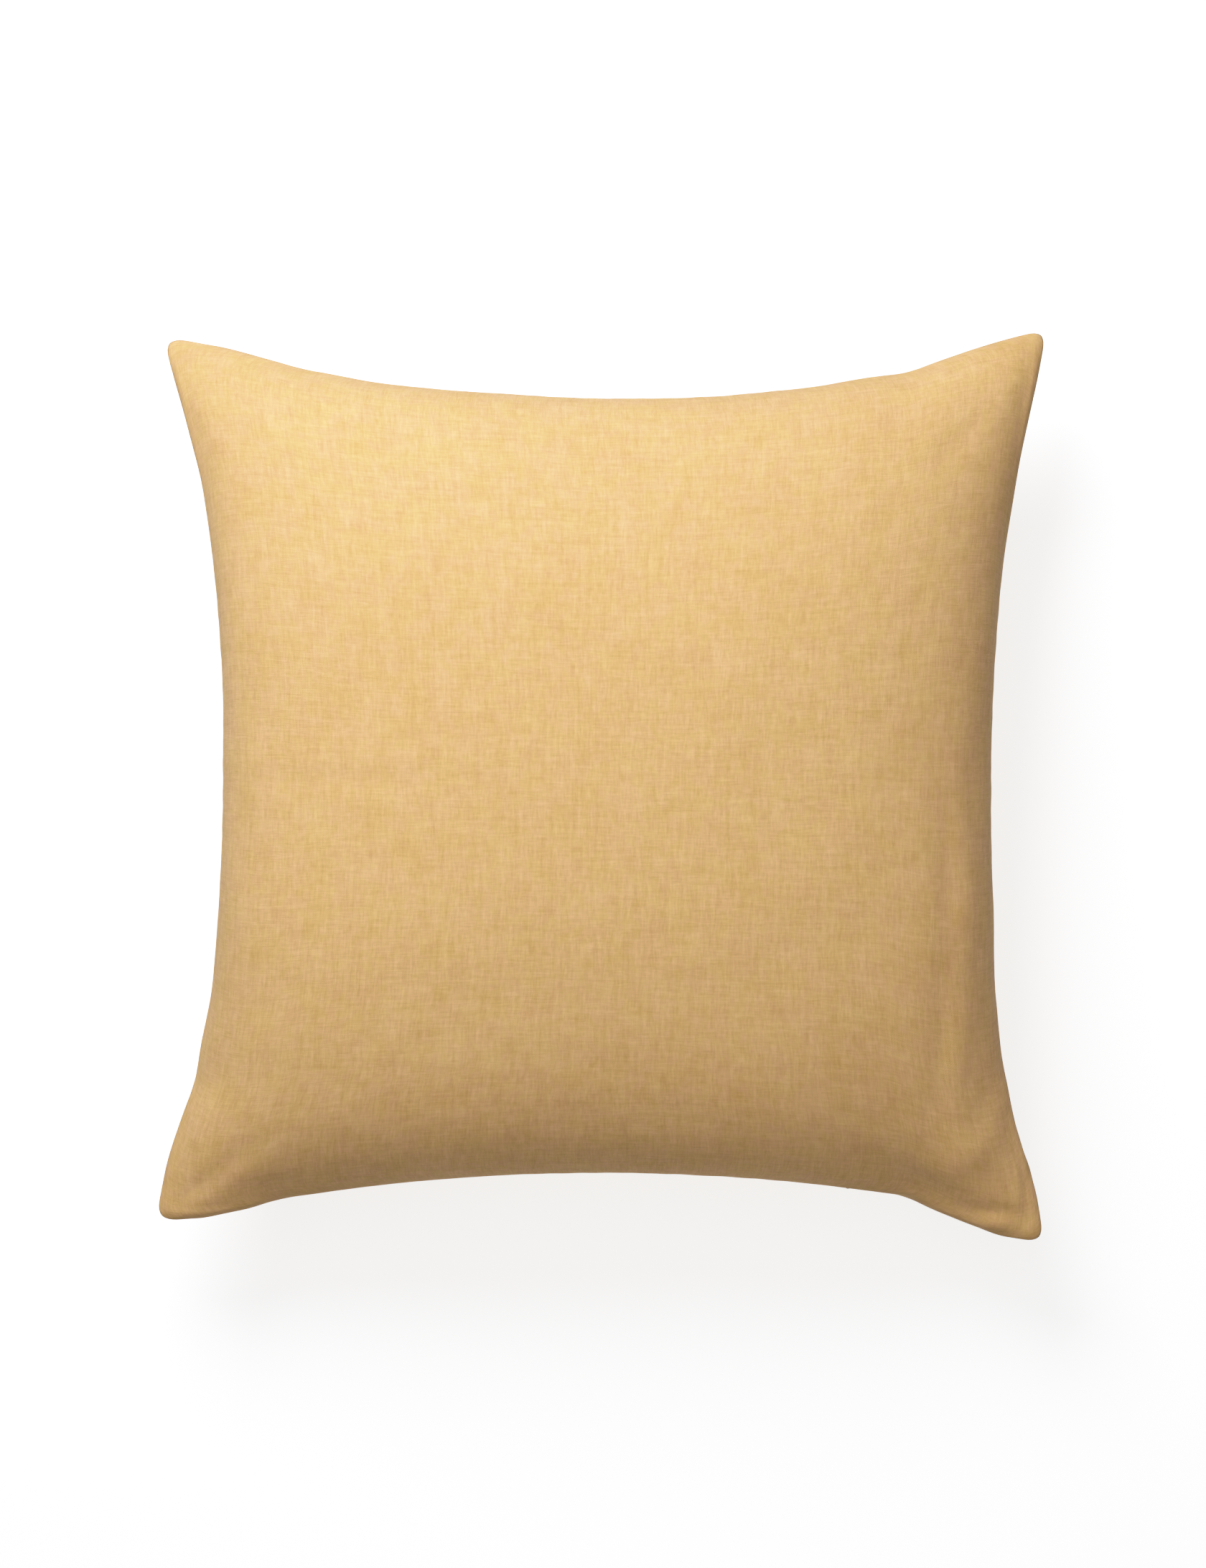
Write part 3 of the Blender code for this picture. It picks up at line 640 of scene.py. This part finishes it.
class Finish(Nodes):
    """One material, and the patterns that make it."""

    def __init__(self, name, **plain):
        self.material = bpy.data.materials.new(name)
        self.material.use_nodes = True
        super().__init__(self.material.node_tree)
        self.shader = self.tree.nodes["Principled BSDF"]
        for socket, value in plain.items():
            self.shader.inputs[socket.replace("_", " ")].default_value = value

    def cloth_place(self):
        """Where a place lies on the flat cloth, in metres, and its two parts."""
        place = self.node("ShaderNodeUVMap", {"uv_map": "cloth"}, {})
        return place, *self.split(place)[:2]

    def object_place(self):
        """Where a place lies in the piece's own space, and its three parts."""
        place = self.node("ShaderNodeTexCoord", {}, {}, out=3)
        return place, *self.split(place)

    def stretched(self, vector, scale, shift=(0.0, 0.0, 0.0)):
        """The place counted in cells of 1/scale metres, for a pattern that runs one way."""
        sockets = {0: vector, "Location": shift, "Scale": scale}
        return self.node("ShaderNodeMapping", {}, sockets)

    def noise(self, vector, scale=1.0, detail=2.0, roughness=0.5):
        sockets = {"Vector": vector, "Scale": scale, "Detail": detail, "Roughness": roughness}
        return self.node("ShaderNodeTexNoise", {}, sockets)

    def mix(self, share, first, second):
        settings = {"data_type": "RGBA"}
        return self.node("ShaderNodeMix", settings, {0: share, 6: first, 7: second}, out=2)

    def bump(self, height, distance, strength=1.0):
        sockets = {"Height": height, "Distance": distance, "Strength": strength}
        return self.node("ShaderNodeBump", {}, sockets)

    def finish(self, colour, roughness, normal=None):
        self.feed(self.shader.inputs["Base Color"], colour)
        self.feed(self.shader.inputs["Roughness"], roughness)
        if normal is not None:
            self.feed(self.shader.inputs["Normal"], normal)
        return self.material


def colour(red, green, blue):
    """A colour as it looks on a screen, from 0 to 255, in the shader's own scale."""

    def linear(c):
        c /= 255.0
        return c / 12.92 if c <= 0.04045 else ((c + 0.055) / 1.055) ** 2.4

    return (linear(red), linear(green), linear(blue), 1.0)


# Finishes.

WARM_TINT = (1.030, 0.980, 1.16, 1.0)
COOL_TINT = (0.970, 1.012, 0.82, 1.0)


def linen(name, ground, shade, pale):
    """Slubby plain-weave linen: warp up the panel, weft across it."""
    made = Finish(name, Sheen_Weight=0.12, Sheen_Roughness=0.45)
    made.shader.inputs["Sheen Tint"].default_value = (1.0, 0.93, 0.80, 1.0)
    made.shader.inputs["Specular IOR Level"].default_value = 0.25
    place, x, y = made.cloth_place()
    pitch = 0.00062
    wander = made.noise(place, 90.0, 2.0) - 0.5
    across, up = x + wander * 0.0006, y + wander * 0.0008
    warp, weft = [(way * (math.pi / pitch)).sine() for way in (across, up)]
    over = (warp * weft).above(0.0)
    weave = over * warp.size() + (1.0 - over) * weft.size()
    slub_up = made.noise(made.stretched(place, (1150.0, 150.0, 1.0)), 1.0, 2.0, 0.6)
    slub_across = made.noise(made.stretched(place, (150.0, 1150.0, 1.0), (7.0, 3.0, 0.0)), 1.0, 2.0, 0.6)
    long_up = made.noise(made.stretched(place, (420.0, 38.0, 1.0), (2.0, 9.0, 0.0)), 1.0, 2.0)
    long_across = made.noise(made.stretched(place, (34.0, 460.0, 1.0), (5.0, 1.0, 0.0)), 1.0, 2.0)
    mottle = made.noise(place, 95.0, 3.0, 0.6)
    cloud = made.noise(made.stretched(place, (24.0, 24.0, 1.0), (3.0, 1.0, 0.0)), 1.0, 2.0)
    tint = made.noise(made.stretched(place, (60.0, 52.0, 1.0), (1.0, 8.0, 0.0)), 1.0, 2.0)
    fleck = made.noise(made.stretched(place, (210.0, 170.0, 1.0), (4.0, 6.0, 0.0)), 1.0, 3.0, 0.65)
    tint = tint * 0.45 + fleck * 0.55
    tone = (slub_up - 0.5) * 1.20 + (slub_across - 0.5) * 1.05 + (weave - 0.6) * 0.16
    tone = tone + (long_up - 0.5) * 0.90 + (long_across - 0.5) * 0.72
    tone = tone + (mottle - 0.5) * 0.72 + (cloud - 0.5) * 0.34
    body = made.mix(tone + 0.5, shade, pale)
    warm, cool = [tuple(c * t for c, t in zip(ground, by)) for by in (WARM_TINT, COOL_TINT)]
    tinted = made.mix(0.45, body, made.mix((tint - 0.5) * 7.0 + 0.5, warm, cool))
    relief = weave * 0.5 + slub_up * 0.9 + slub_across * 0.8 + mottle * 0.4
    normal = made.bump(relief, 0.00018, 0.85)
    return made.finish(tinted, 0.86 + (mottle - 0.5) * 0.12, normal)


def cotton(name, ground, pale):
    """Close plain-weave casing cotton, a little creased."""
    made = Finish(name, Sheen_Weight=0.08, Sheen_Roughness=0.5)
    place, x, y = made.cloth_place()
    pitch = 0.00045
    weave = (x * (math.pi / pitch)).sine() * (y * (math.pi / pitch)).sine()
    crease = made.noise(made.stretched(place, (22.0, 60.0, 1.0)), 1.0, 3.0)
    blotch = made.noise(place, 40.0, 2.0)
    body = made.mix(blotch * 0.6 + weave * 0.12 + 0.1, ground, pale)
    normal = made.bump(weave * 0.3 + crease * 1.2, 0.0004, 0.6)
    return made.finish(body, 0.86 + (blotch - 0.5) * 0.1, normal)


def twisted(name, ground, pale):
    """Spun thread, whose plies show as fine slanting bands."""
    made = Finish(name, Sheen_Weight=0.10, Sheen_Roughness=0.4)
    place, x, y, z = made.object_place()
    ply = ((x + y + z) * (math.pi / 0.0004)).sine().size()
    fuzz = made.noise(place, 2400.0, 2.0)
    body = made.mix(ply * 0.6 + fuzz * 0.4, ground, pale)
    return made.finish(body, 0.72 + (fuzz - 0.5) * 0.2, made.bump(ply, 0.00006, 0.7))


def ribbed(name, ground, pale, pitch, slant):
    """Woven tape or ribbon, with a slanting rib."""
    made = Finish(name, Sheen_Weight=0.06, Sheen_Roughness=0.4)
    place, x, y = made.cloth_place()
    rib = ((x + (y / (2.0 * pitch)).sine() * slant) * (math.pi / pitch)).sine().size()
    thread = (y * (math.pi / (pitch * 0.7))).sine().size()
    worn = made.noise(place, 300.0, 2.0)
    body = made.mix(rib * 0.4 + thread * 0.2 + worn * 0.4, ground, pale)
    normal = made.bump(rib * 0.7 + thread * 0.3 + worn * 0.2, 0.00012, 0.7)
    return made.finish(body, 0.70 + (worn - 0.5) * 0.2, normal)


def nylon(name, ground, pale):
    made = Finish(name, Coat_Weight=0.15)
    place, *_ = made.object_place()
    cloudy = made.noise(place, 900.0, 2.0)
    body = made.mix(cloudy, ground, pale)
    return made.finish(body, 0.34 + cloudy * 0.16, made.bump(cloudy, 0.00003, 0.4))


def plated(name, ground, pale):
    """Plated zinc, drawn along the zip and rubbed dull where it is handled."""
    made = Finish(name, Metallic=1.0)
    place, *_ = made.object_place()
    drawn = made.noise(made.stretched(place, (180.0, 2600.0, 2600.0)), 1.0, 3.0)
    rubbed = made.noise(place, 420.0, 3.0)
    body = made.mix(rubbed * 0.7 + drawn * 0.3, ground, pale)
    normal = made.bump(drawn * 0.6 + rubbed * 0.4, 0.00003, 0.4)
    return made.finish(body, 0.24 + rubbed * 0.2 + drawn * 0.06, normal)


def fibre(name, ground, pale):
    """Loose hollow-fibre filling: crimped strands and soft clumps."""
    made = Finish(name, Sheen_Weight=0.2, Sheen_Roughness=0.6)
    place, *_ = made.object_place()
    clump = made.noise(place, 45.0, 3.0, 0.6)
    strand = made.noise(made.stretched(place, (900.0, 160.0, 500.0)), 1.0, 4.0, 0.7)
    body = made.mix(clump * 0.6 + strand * 0.4, ground, pale)
    return made.finish(body, 0.92 + (strand - 0.5) * 0.1, made.bump(clump + strand * 0.5, 0.002, 0.6))


def make_finishes():
    front = [colour(232, 184, 120), colour(204, 154, 92), colour(251, 209, 148)]
    back = [colour(229, 181, 118), colour(201, 151, 90), colour(248, 206, 146)]
    return {
        "linen_front": linen("linen_front", *front),
        "linen_back": linen("linen_back", *back),
        "thread": twisted("thread", colour(200, 164, 112), colour(226, 192, 140)),
        "zip_tape": ribbed("zip_tape", colour(188, 152, 102), colour(212, 178, 126), 0.0009, 0.0004),
        "nylon_coil": nylon("nylon_coil", colour(190, 156, 108), colour(214, 182, 134)),
        "metal": plated("metal", colour(172, 166, 152), colour(206, 202, 192)),
        "casing_cotton": cotton("casing_cotton", colour(226, 222, 212), colour(240, 238, 231)),
        "white_thread": twisted("white_thread", colour(225, 223, 216), colour(244, 243, 238)),
        "fibre_fill": fibre("fibre_fill", colour(222, 221, 216), colour(246, 245, 242)),
        "label_satin": ribbed("label_satin", colour(228, 224, 214), colour(244, 242, 236), 0.0005, 0.0),
    }


FINISHES = make_finishes()


def belongs(piece, node):
    """Puts a piece on the cushion, in place of its frame node."""
    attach(piece, "cushion")
    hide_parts(node)


# Threads.


def thread(name, routes, radius, surface, sides=0):
    """Threads of one radius along routes of places, as one piece."""
    line = bpy.data.curves.new(name, "CURVE")
    line.dimensions = "3D"
    line.bevel_depth, line.bevel_resolution = radius, sides
    line.use_fill_caps = True
    for route in routes:
        spline = line.splines.new("POLY")
        spline.points.add(len(route) - 1)
        spline.points.foreach_set("co", [c for place in route for c in (*place, 1.0)])
    drawn = bpy.data.objects.new(name, line)
    bpy.context.collection.objects.link(drawn)
    shown = drawn.evaluated_get(bpy.context.evaluated_depsgraph_get())
    mesh = bpy.data.meshes.new_from_object(shown)
    bpy.data.objects.remove(drawn)
    mesh.name = name
    mesh.materials.clear()
    mesh.materials.append(surface)
    mesh.shade_smooth()
    piece = bpy.data.objects.new(name, mesh)
    bpy.context.collection.objects.link(piece)
    return piece


def round_seam(start, end, steps=160):
    """Places right round the seam as (side, k), anticlockwise from start to end along one side."""
    order = ["bottom", "right", "top", "left"]
    first = order.index(start[0])
    route = []
    for turn in range(5):
        side = order[(first + turn) % 4]
        forward = side in ("bottom", "right")
        low = start[1] if turn == 0 else (-1.0 if forward else 1.0)
        high = end[1] if turn == 4 else (1.0 if forward else -1.0)
        count = max(int(steps * abs(high - low) / 2.0), 2)
        route += [(side, low + (high - low) * n / count) for n in range(count + (turn == 4))]
    return route


def walked(route, depth, step):
    """The same route in even steps, as pairs of neighbouring stations and the share between them."""
    line = np.array([edge_point(side, k, depth)[:] for side, k in route])
    gone = np.concatenate([[0.0], np.cumsum(np.linalg.norm(np.diff(line, axis=0), axis=1))])
    marks = np.linspace(0.0, gone[-1], int(gone[-1] / step) + 1)
    at = np.clip(np.searchsorted(gone, marks, side="right") - 1, 0, len(gone) - 2)
    return [(route[n], route[n + 1], (m - gone[n]) / (gone[n + 1] - gone[n])) for n, m in zip(at, marks)]


def seam_place(station, depth, height):
    first, second, share = station
    low, high = (edge_point(*place, depth) for place in (first, second))
    return Vector((*low.lerp(high, share), SEAM_HEIGHT + height))


STITCH = 0.0026
OVERLOCK_BITE = 0.0035  # how far in from the raw edge the needle's line lies


def overlock(name, route, edge, lip, surface):
    """Three threads over a raw edge that lies edge in from the seam: a needle line and two loopers."""
    low, leg = edge - OVERLOCK_BITE, lip + GAP + THREAD_RADIUS
    steps = walked(route, edge, STITCH / 2.0)
    needle = [(low, leg + 0.0002), (low - 0.0001, leg - 0.0001)]
    upper = [(low + 0.0002, leg), (edge + 0.0004, leg * 0.9)]
    lower = [(edge + 0.0004, -leg * 0.9), (low + 0.0002, -leg)]
    edge_wrap = [(edge + 0.0006, leg * 0.5), (edge + 0.0006, -leg * 0.5)]
    lines = (needle, upper, lower, edge_wrap)
    routes = [[seam_place(at, *line[n % 2]) for n, at in enumerate(steps)] for line in lines]
    return thread(name, routes, THREAD_RADIUS, surface)


def cover_overlock():
    reach = SLIT_HALF + SLIT_CLOSE + 0.001
    start, end = ("bottom", side_k("bottom", reach)), ("bottom", side_k("bottom", -reach))
    lip = GAP / 2.0 + FABRIC
    piece = overlock("edge_overlock", round_seam(start, end), ALLOWANCE, lip, FINISHES["thread"])
    belongs(piece, "cover_overlock_thread")


# The zip. Its pieces lie on arcs about one centre.

TAPE = 0.0006
TAPE_LOW = 0.0020
TAPE_HIGH = 0.0130
TAPE_HALF = SLIT_HALF + 0.006
TAPE_TRIM = 0.0055  # how much narrower the tapes are cut at their ends
TAPE_DEPTH = FOLD_DEPTH + GAP + 0.0004
TAPE_EDGE = 0.0007  # the tape's woven edge, a little thicker
TAPE_WALL = 0.00042
COIL_DEPTH = TAPE_DEPTH + TAPE + GAP
COIL_SIZE = 0.0022
BARTACK_AT = SLIT_HALF - 0.009
BARTACK_LENGTH = 0.0025
BARTACK_HIGH = 0.005
COIL_HALF = BARTACK_AT - 0.006
COIL_PITCH = 0.0013
COIL_WIRE = 0.00026
COIL_SPREAD = 0.00075
COIL_END = 0.0006  # how far the wire stops short of the coil's ends
TURN_POINTS = 12
SLIDER_LENGTH = 0.011
SLIDER_AT = COIL_HALF - SLIDER_LENGTH / 2.0 - 0.0025


def zip_place(length, depth, height):
    turn, reach = length / BOW_RADIUS, BOW_RADIUS + depth
    return ZIP_CENTRE + Vector((reach * math.sin(turn), reach * math.cos(turn), height))


def strip(name, place, cells, size, surface, wall):
    """A flat strip of tape or ribbon; place is a function of two shares from 0 to 1."""
    bm = bmesh.new()
    bmesh.ops.create_grid(bm, x_segments=cells[0], y_segments=cells[1], size=0.5)
    uv = bm.loops.layers.uv.new("cloth")
    for f in bm.faces:
        for loop in f.loops:
            loop[uv].uv = (loop.vert.co.x * size[0], loop.vert.co.y * size[1])
    for v in bm.verts:
        v.co = place(v.co.x + 0.5, v.co.y + 0.5)
    bmesh.ops.recalc_face_normals(bm, faces=bm.faces)
    return finished(name, bm, surface, wall, 1)


def zip_tape(word, face):
    def place(s, t):
        high = TAPE_HIGH - TAPE_TRIM * smooth(0.78, 0.96, abs(2.0 * s - 1.0))
        height = TAPE_LOW + (high - TAPE_LOW) * t
        wave = 0.00008 * math.sin(s * 190.0)
        depth = TAPE_DEPTH + TAPE * (0.5 if t < TAPE_EDGE / TAPE_HIGH else 0.35) + wave
        return zip_place((2.0 * s - 1.0) * TAPE_HALF, depth, face * height)

    size = (2.0 * TAPE_HALF, TAPE_HIGH - TAPE_LOW)
    piece = strip(f"zip_tape_strip_{word}", place, (90, 8), size, FINISHES["zip_tape"], TAPE_WALL)
    belongs(piece, f"zip_tape_{word}")


def zip_coil(word, face):
    """One half of the coil: a wire wound on itself, parted from its fellow past the slider."""
    steps = int(2.0 * COIL_HALF / COIL_PITCH) * TURN_POINTS
    radius = COIL_SIZE / 2.0 - COIL_WIRE
    route = []
    for n in range(steps + 1):
        along = -COIL_HALF + COIL_END + (2.0 * COIL_HALF - 2.0 * COIL_END) * n / steps
        angle = 2.0 * math.pi * n / TURN_POINTS
        parting = smooth(SLIDER_AT - SLIDER_LENGTH / 2.0, SLIDER_AT, along)
        middle = GAP / 2.0 + COIL_SIZE / 2.0 + COIL_SPREAD * parting
        depth = COIL_DEPTH + COIL_SIZE / 2.0 + radius * math.cos(angle)
        route.append(zip_place(along, depth, face * (middle + radius * math.sin(angle))))
    piece = thread(f"zip_coil_wire_{word}", [route], COIL_WIRE, FINISHES["nylon_coil"], 1)
    belongs(piece, f"zip_coil_{word}")


def bar_tack(word, start):
    """A bar of close satin stitches across both tapes."""
    passes = 24
    route = []
    for n in range(passes + 1):
        height = BARTACK_HIGH * 0.94 * (2.0 * n / passes - 1.0)
        along = start + BARTACK_LENGTH * (0.12 if n % 2 else 0.88)
        route += [zip_place(along, COIL_DEPTH + 0.00036, height)]
        middle = start + BARTACK_LENGTH * 0.5
        route += [zip_place(middle, COIL_DEPTH + 0.00056, height + BARTACK_HIGH / passes)] * (n < passes)
    piece = thread(f"bar_tack_{word}", [route], THREAD_RADIUS, FINISHES["thread"], 1)
    belongs(piece, f"zip_bartack_{word}")


METAL_NODES = ("slider_body", "pull_tab", "top_stop_front", "top_stop_back", "bottom_stop")


def zip_parts():
    for word, face in (("front", FRONT), ("back", BACK)):
        zip_tape(word, face)
        zip_coil(word, face)
    bar_tack("right", BARTACK_AT)
    bar_tack("left", -BARTACK_AT - BARTACK_LENGTH)
    for node in METAL_NODES:
        mesh = frame["nodes"][f"zip_{node}"].data
        mesh.materials.clear()
        mesh.materials.append(FINISHES["metal"])


# The insert, which lies inside the cover.


def surface_tree(places, face):
    """One face of cloth as a tree to measure from, with its faces outwards."""
    cells = len(places) - 1
    bm = bmesh.new()
    layers = number_layers(bm, "across", "up", "face")
    grid_numbers(bm, cells, face, layers)
    if face == BACK:
        bmesh.ops.reverse_faces(bm, faces=bm.faces)
    for v in bm.verts:
        v.co = places[v[layers["across"]], v[layers["up"]]]
    bm.normal_update()
    tree = BVHTree.FromBMesh(bm)
    bm.free()
    return tree


def kept_inside(places, trees, room, rounds=3):
    """Moves a layer's places in until they are room from the layer that lies over them."""
    for _ in range(rounds):
        for i in range(len(places)):
            for j in range(len(places)):
                at = Vector(places[i, j])
                for tree in trees:
                    spot, normal, _, _ = tree.find_nearest(at)
                    deep = (spot - at).dot(normal)
                    if deep < room:
                        at -= normal * (room - deep)
                places[i, j] = at
    return places


def laid_inside(outer, inset, drop, room):
    """The two faces of a layer that lies inside another, room from it and drop above the floor."""
    trees = [surface_tree(outer[face], face) for face in (FRONT, BACK)]
    faces = {}
    for face in (FRONT, BACK):
        faces[face] = kept_inside(laid_cloth(face, INNER_CELLS, inset, drop), trees, room)
        faces[face][..., 2] = np.maximum(faces[face][..., 2], drop + 0.0004)
    return faces


def flat_lips(inset, height):
    return [
        lambda side, k: (inset + LIP, height),
        lambda side, k: (inset + CASING_ALLOWANCE, height),
    ]


def stitched_rim(faces, inset, height):
    """Sets the layer's edge on its own seam, half a gap off the seam's plane."""
    for face in (FRONT, BACK):
        places = faces[face]
        cells = len(places) - 1
        for i in range(cells + 1):
            for j in range(cells + 1):
                if i in (0, cells) or j in (0, cells):
                    places[i, j] = rim_place(*rim_side(i, j, cells), inset, face * height)
    return faces


def casing(faces):
    """The insert's two panels, sewn with their allowances turned in."""
    for face, word in ((FRONT, "front"), (BACK, "back")):
        lips = flat_lips(INSERT_ROOM, GAP / 2.0)
        surface = FINISHES["casing_cotton"]
        name = f"casing_{word}_panel"
        piece = panel(name, face, faces[face], lips, INSERT_CUT, surface, CASING)
        belongs(piece, f"insert_{word}_panel")


def filling(faces):
    """The filling: one closed, clumped mass of fibre."""
    bm = bmesh.new()
    layers = number_layers(bm, "across", "up", "face")
    for face in (FRONT, BACK):
        for v in grid_numbers(bm, INNER_CELLS, face, layers):
            v.co = faces[face][v[layers["across"]], v[layers["up"]]]
    bmesh.ops.bridge_loops(bm, edges=[e for e in bm.edges if e.is_boundary])
    bmesh.ops.recalc_face_normals(bm, faces=bm.faces)
    if bm.calc_volume(signed=True) < 0.0:
        bmesh.ops.reverse_faces(bm, faces=bm.faces)
    piece = finished("fibre_filling", bm, FINISHES["fibre_fill"], 0.0, 1)
    belongs(piece, "insert_filling")


CLOSED_HALF = 0.060  # half the gap that the insert was filled through
SLIP_STEPS = 52


def insert_threads():
    gap = side_k("top", CLOSED_HALF)
    route = round_seam(("top", -gap), ("top", gap))
    edge = INSERT_ROOM + CASING_ALLOWANCE
    made = overlock("casing_overlock", route, edge, GAP / 2.0 + CASING, FINISHES["white_thread"])
    belongs(made, "insert_overlock_thread")
    depth = INSERT_ROOM - GAP - THREAD_RADIUS
    stitches = []
    for n in range(SLIP_STEPS + 1):
        k = gap * (2.0 * n / SLIP_STEPS - 1.0)
        stitches.append(rim_place("top", k, depth, 0.0007 * (-1.0 if n % 4 < 2 else 1.0)))
    made = thread("closing_slip_stitch", [stitches], THREAD_RADIUS, FINISHES["white_thread"], 1)
    belongs(made, "insert_closing_stitch")


CARE_LABEL, CARE_LABEL_AT = (0.040, 0.029), -0.090
CARE_LABEL_LEAN = math.radians(17.0)  # it leans in as the cover's edge does
INSERT_LABEL, INSERT_LABEL_AT = (0.030, 0.026), -0.060
LABEL_WALL = 0.00022


def blank_label(name, side, at, size, root, tip, wave, node):
    """A blank satin label, stitched in at root and hanging to tip, both (depth, height)."""

    def place(s, t):
        k = side_k(side, at + (s - 0.5) * size[0])
        depth = root[0] + (tip[0] - root[0]) * t + wave * t * math.sin(math.pi * (1.3 * s + 0.2))
        return rim_place(side, k, depth, root[1] + (tip[1] - root[1]) * t)

    piece = strip(name, place, (16, 12), size, FINISHES["label_satin"], LABEL_WALL)
    belongs(piece, node)


def blank_labels():
    lean_in, hang = CARE_LABEL[1] * math.sin(CARE_LABEL_LEAN), CARE_LABEL[1] * math.cos(CARE_LABEL_LEAN)
    root = (FABRIC + 0.0016, -GAP / 2.0 - FABRIC - GAP)
    tip = (root[0] + lean_in, root[1] - hang)
    blank_label("care_ribbon", "left", CARE_LABEL_AT, CARE_LABEL, root, tip, 0.0008, "care_label")
    root = (INSERT_ROOM - GAP - 0.00015, 0.0010)
    tip = (root[0], root[1] + INSERT_LABEL[1])
    blank_label("insert_ribbon", "right", INSERT_LABEL_AT, INSERT_LABEL, root, tip, -0.0004, "insert_label")


def insides(cover):
    """Everything inside the cover, each layer kept clear of the one over it."""
    room = FABRIC + 0.0012
    faces = laid_inside(cover, INSERT_ROOM, FABRIC + 0.0006, room)
    faces = stitched_rim(faces, INSERT_ROOM, GAP / 2.0)
    casing(faces)
    inset = INSERT_ROOM + CASING_ALLOWANCE + 0.0016
    inner = laid_inside(faces, inset, FABRIC + CASING + 0.0012, CASING + 0.0012)
    filling(stitched_rim(inner, inset, 0.001))
    insert_threads()
    blank_labels()


# The stage.


FLOOR_GLOW = 0.80


def stage():
    bpy.ops.mesh.primitive_plane_add(size=14.0, location=(0.0, 0.0, -0.0002))
    floor = bpy.context.object
    floor.name = "floor"
    made = Finish("floor_paint")
    place, *_ = made.object_place()
    cloudy = made.noise(place, 3.0, 2.0)
    glow = made.mix(cloudy, (1.0, 1.0, 1.0, 1.0), (0.98, 0.98, 0.98, 1.0))
    made.feed(made.shader.inputs["Emission Color"], glow)
    made.shader.inputs["Emission Strength"].default_value = FLOOR_GLOW
    made.finish(made.mix(cloudy, (0.93, 0.93, 0.93, 1.0), (0.95, 0.95, 0.95, 1.0)), 0.8)
    floor.data.materials.append(made.material)
    floor.visible_diffuse = floor.visible_shadow = False


def softbox(name, direction, distance, size, power, tint):
    light = bpy.data.lights.new(name, "AREA")
    light.shape = "DISK"
    light.size = size
    light.energy = power
    light.color = tint
    lamp = bpy.data.objects.new(name, light)
    bpy.context.collection.objects.link(lamp)
    lamp.location = Vector(direction).normalized() * distance
    lamp.rotation_euler = (-lamp.location).to_track_quat("-Z", "Y").to_euler()


def lights():
    softbox("key", (-0.27, 0.62, 0.74), 1.4, 0.8, 20.2, (1.0, 0.99, 1.04))
    softbox("fill", (-0.1, 0.1, 1.0), 3.2, 2.6, 12.5, (1.0, 0.985, 0.95))
    softbox("return", (0.55, -0.75, 0.5), 2.5, 1.6, 5.0, (1.0, 0.98, 0.95))
    room_light()


ROOM_ABOVE, ROOM_BELOW, BACKDROP = 0.18, 0.42, 0.97


def room_light():
    """Even light from all round: what the pale floor throws up is the stronger part."""
    world = bpy.data.worlds.new("room")
    world.use_nodes = True
    room = Nodes(world.node_tree)
    height = room.split(room.node("ShaderNodeTexCoord", {}, {}))[2]
    below = 1.0 - height.above(0.0)
    seen = room.node("ShaderNodeLightPath", {}, {})
    even = ROOM_ABOVE + below * (ROOM_BELOW - ROOM_ABOVE)
    strength = even * (1.0 - seen) + seen * BACKDROP
    background = world.node_tree.nodes["Background"].inputs
    room.feed(background["Strength"], strength)
    background["Color"].default_value = (1.0, 1.0, 1.0, 1.0)
    bpy.context.scene.world = world


FRAME_WIDE = 0.6707  # what the picture takes in across, at the seam
LOOK_AT = Vector((0.0010, 0.0014))
CAMERA_DISTANCE = 3.0
# How bright a place shows for how bright it is: bright cloth rolls off softly instead of clipping.
SHOULDER = ((0.20, 0.20), (0.42, 0.42), (0.62, 0.59), (0.84, 0.755), (1.0, 0.85), (1.2, 0.925), (1.5, 1.0))


def camera():
    view = bpy.data.cameras.new("camera")
    view.sensor_fit = "HORIZONTAL"
    view.sensor_width = 36.0
    view.lens = view.sensor_width * CAMERA_DISTANCE / FRAME_WIDE
    eye = bpy.data.objects.new("camera", view)
    bpy.context.collection.objects.link(eye)
    eye.location = (*LOOK_AT, SEAM_HEIGHT + CAMERA_DISTANCE)
    bpy.context.scene.camera = eye
    settings = bpy.context.scene.view_settings
    settings.view_transform = "Standard"
    settings.use_curve_mapping = True
    curve = settings.curve_mapping
    curve.white_level = (SHOULDER[-1][0],) * 3
    line = curve.curves[3]
    for bright, shown in SHOULDER[:-1]:
        line.points.new(bright / SHOULDER[-1][0], shown)
    line.points[-1].location = (1.0, SHOULDER[-1][1])
    curve.update()


def build():
    faces = cover_faces()
    for face in (FRONT, BACK):
        faces[face] = opened(closed_rim(faces[face], face), face)
    for face, word in ((FRONT, "front"), (BACK, "back")):
        surface = FINISHES[f"linen_{word}"]
        name = f"linen_{word}_panel"
        cloth = panel(name, face, faces[face], COVER_LIPS, COVER_CUT, surface, FABRIC)
        belongs(cloth, f"cover_{word}_panel")
    cover_overlock()
    zip_parts()
    insides(faces)
    stage()
    lights()
    camera()


build()
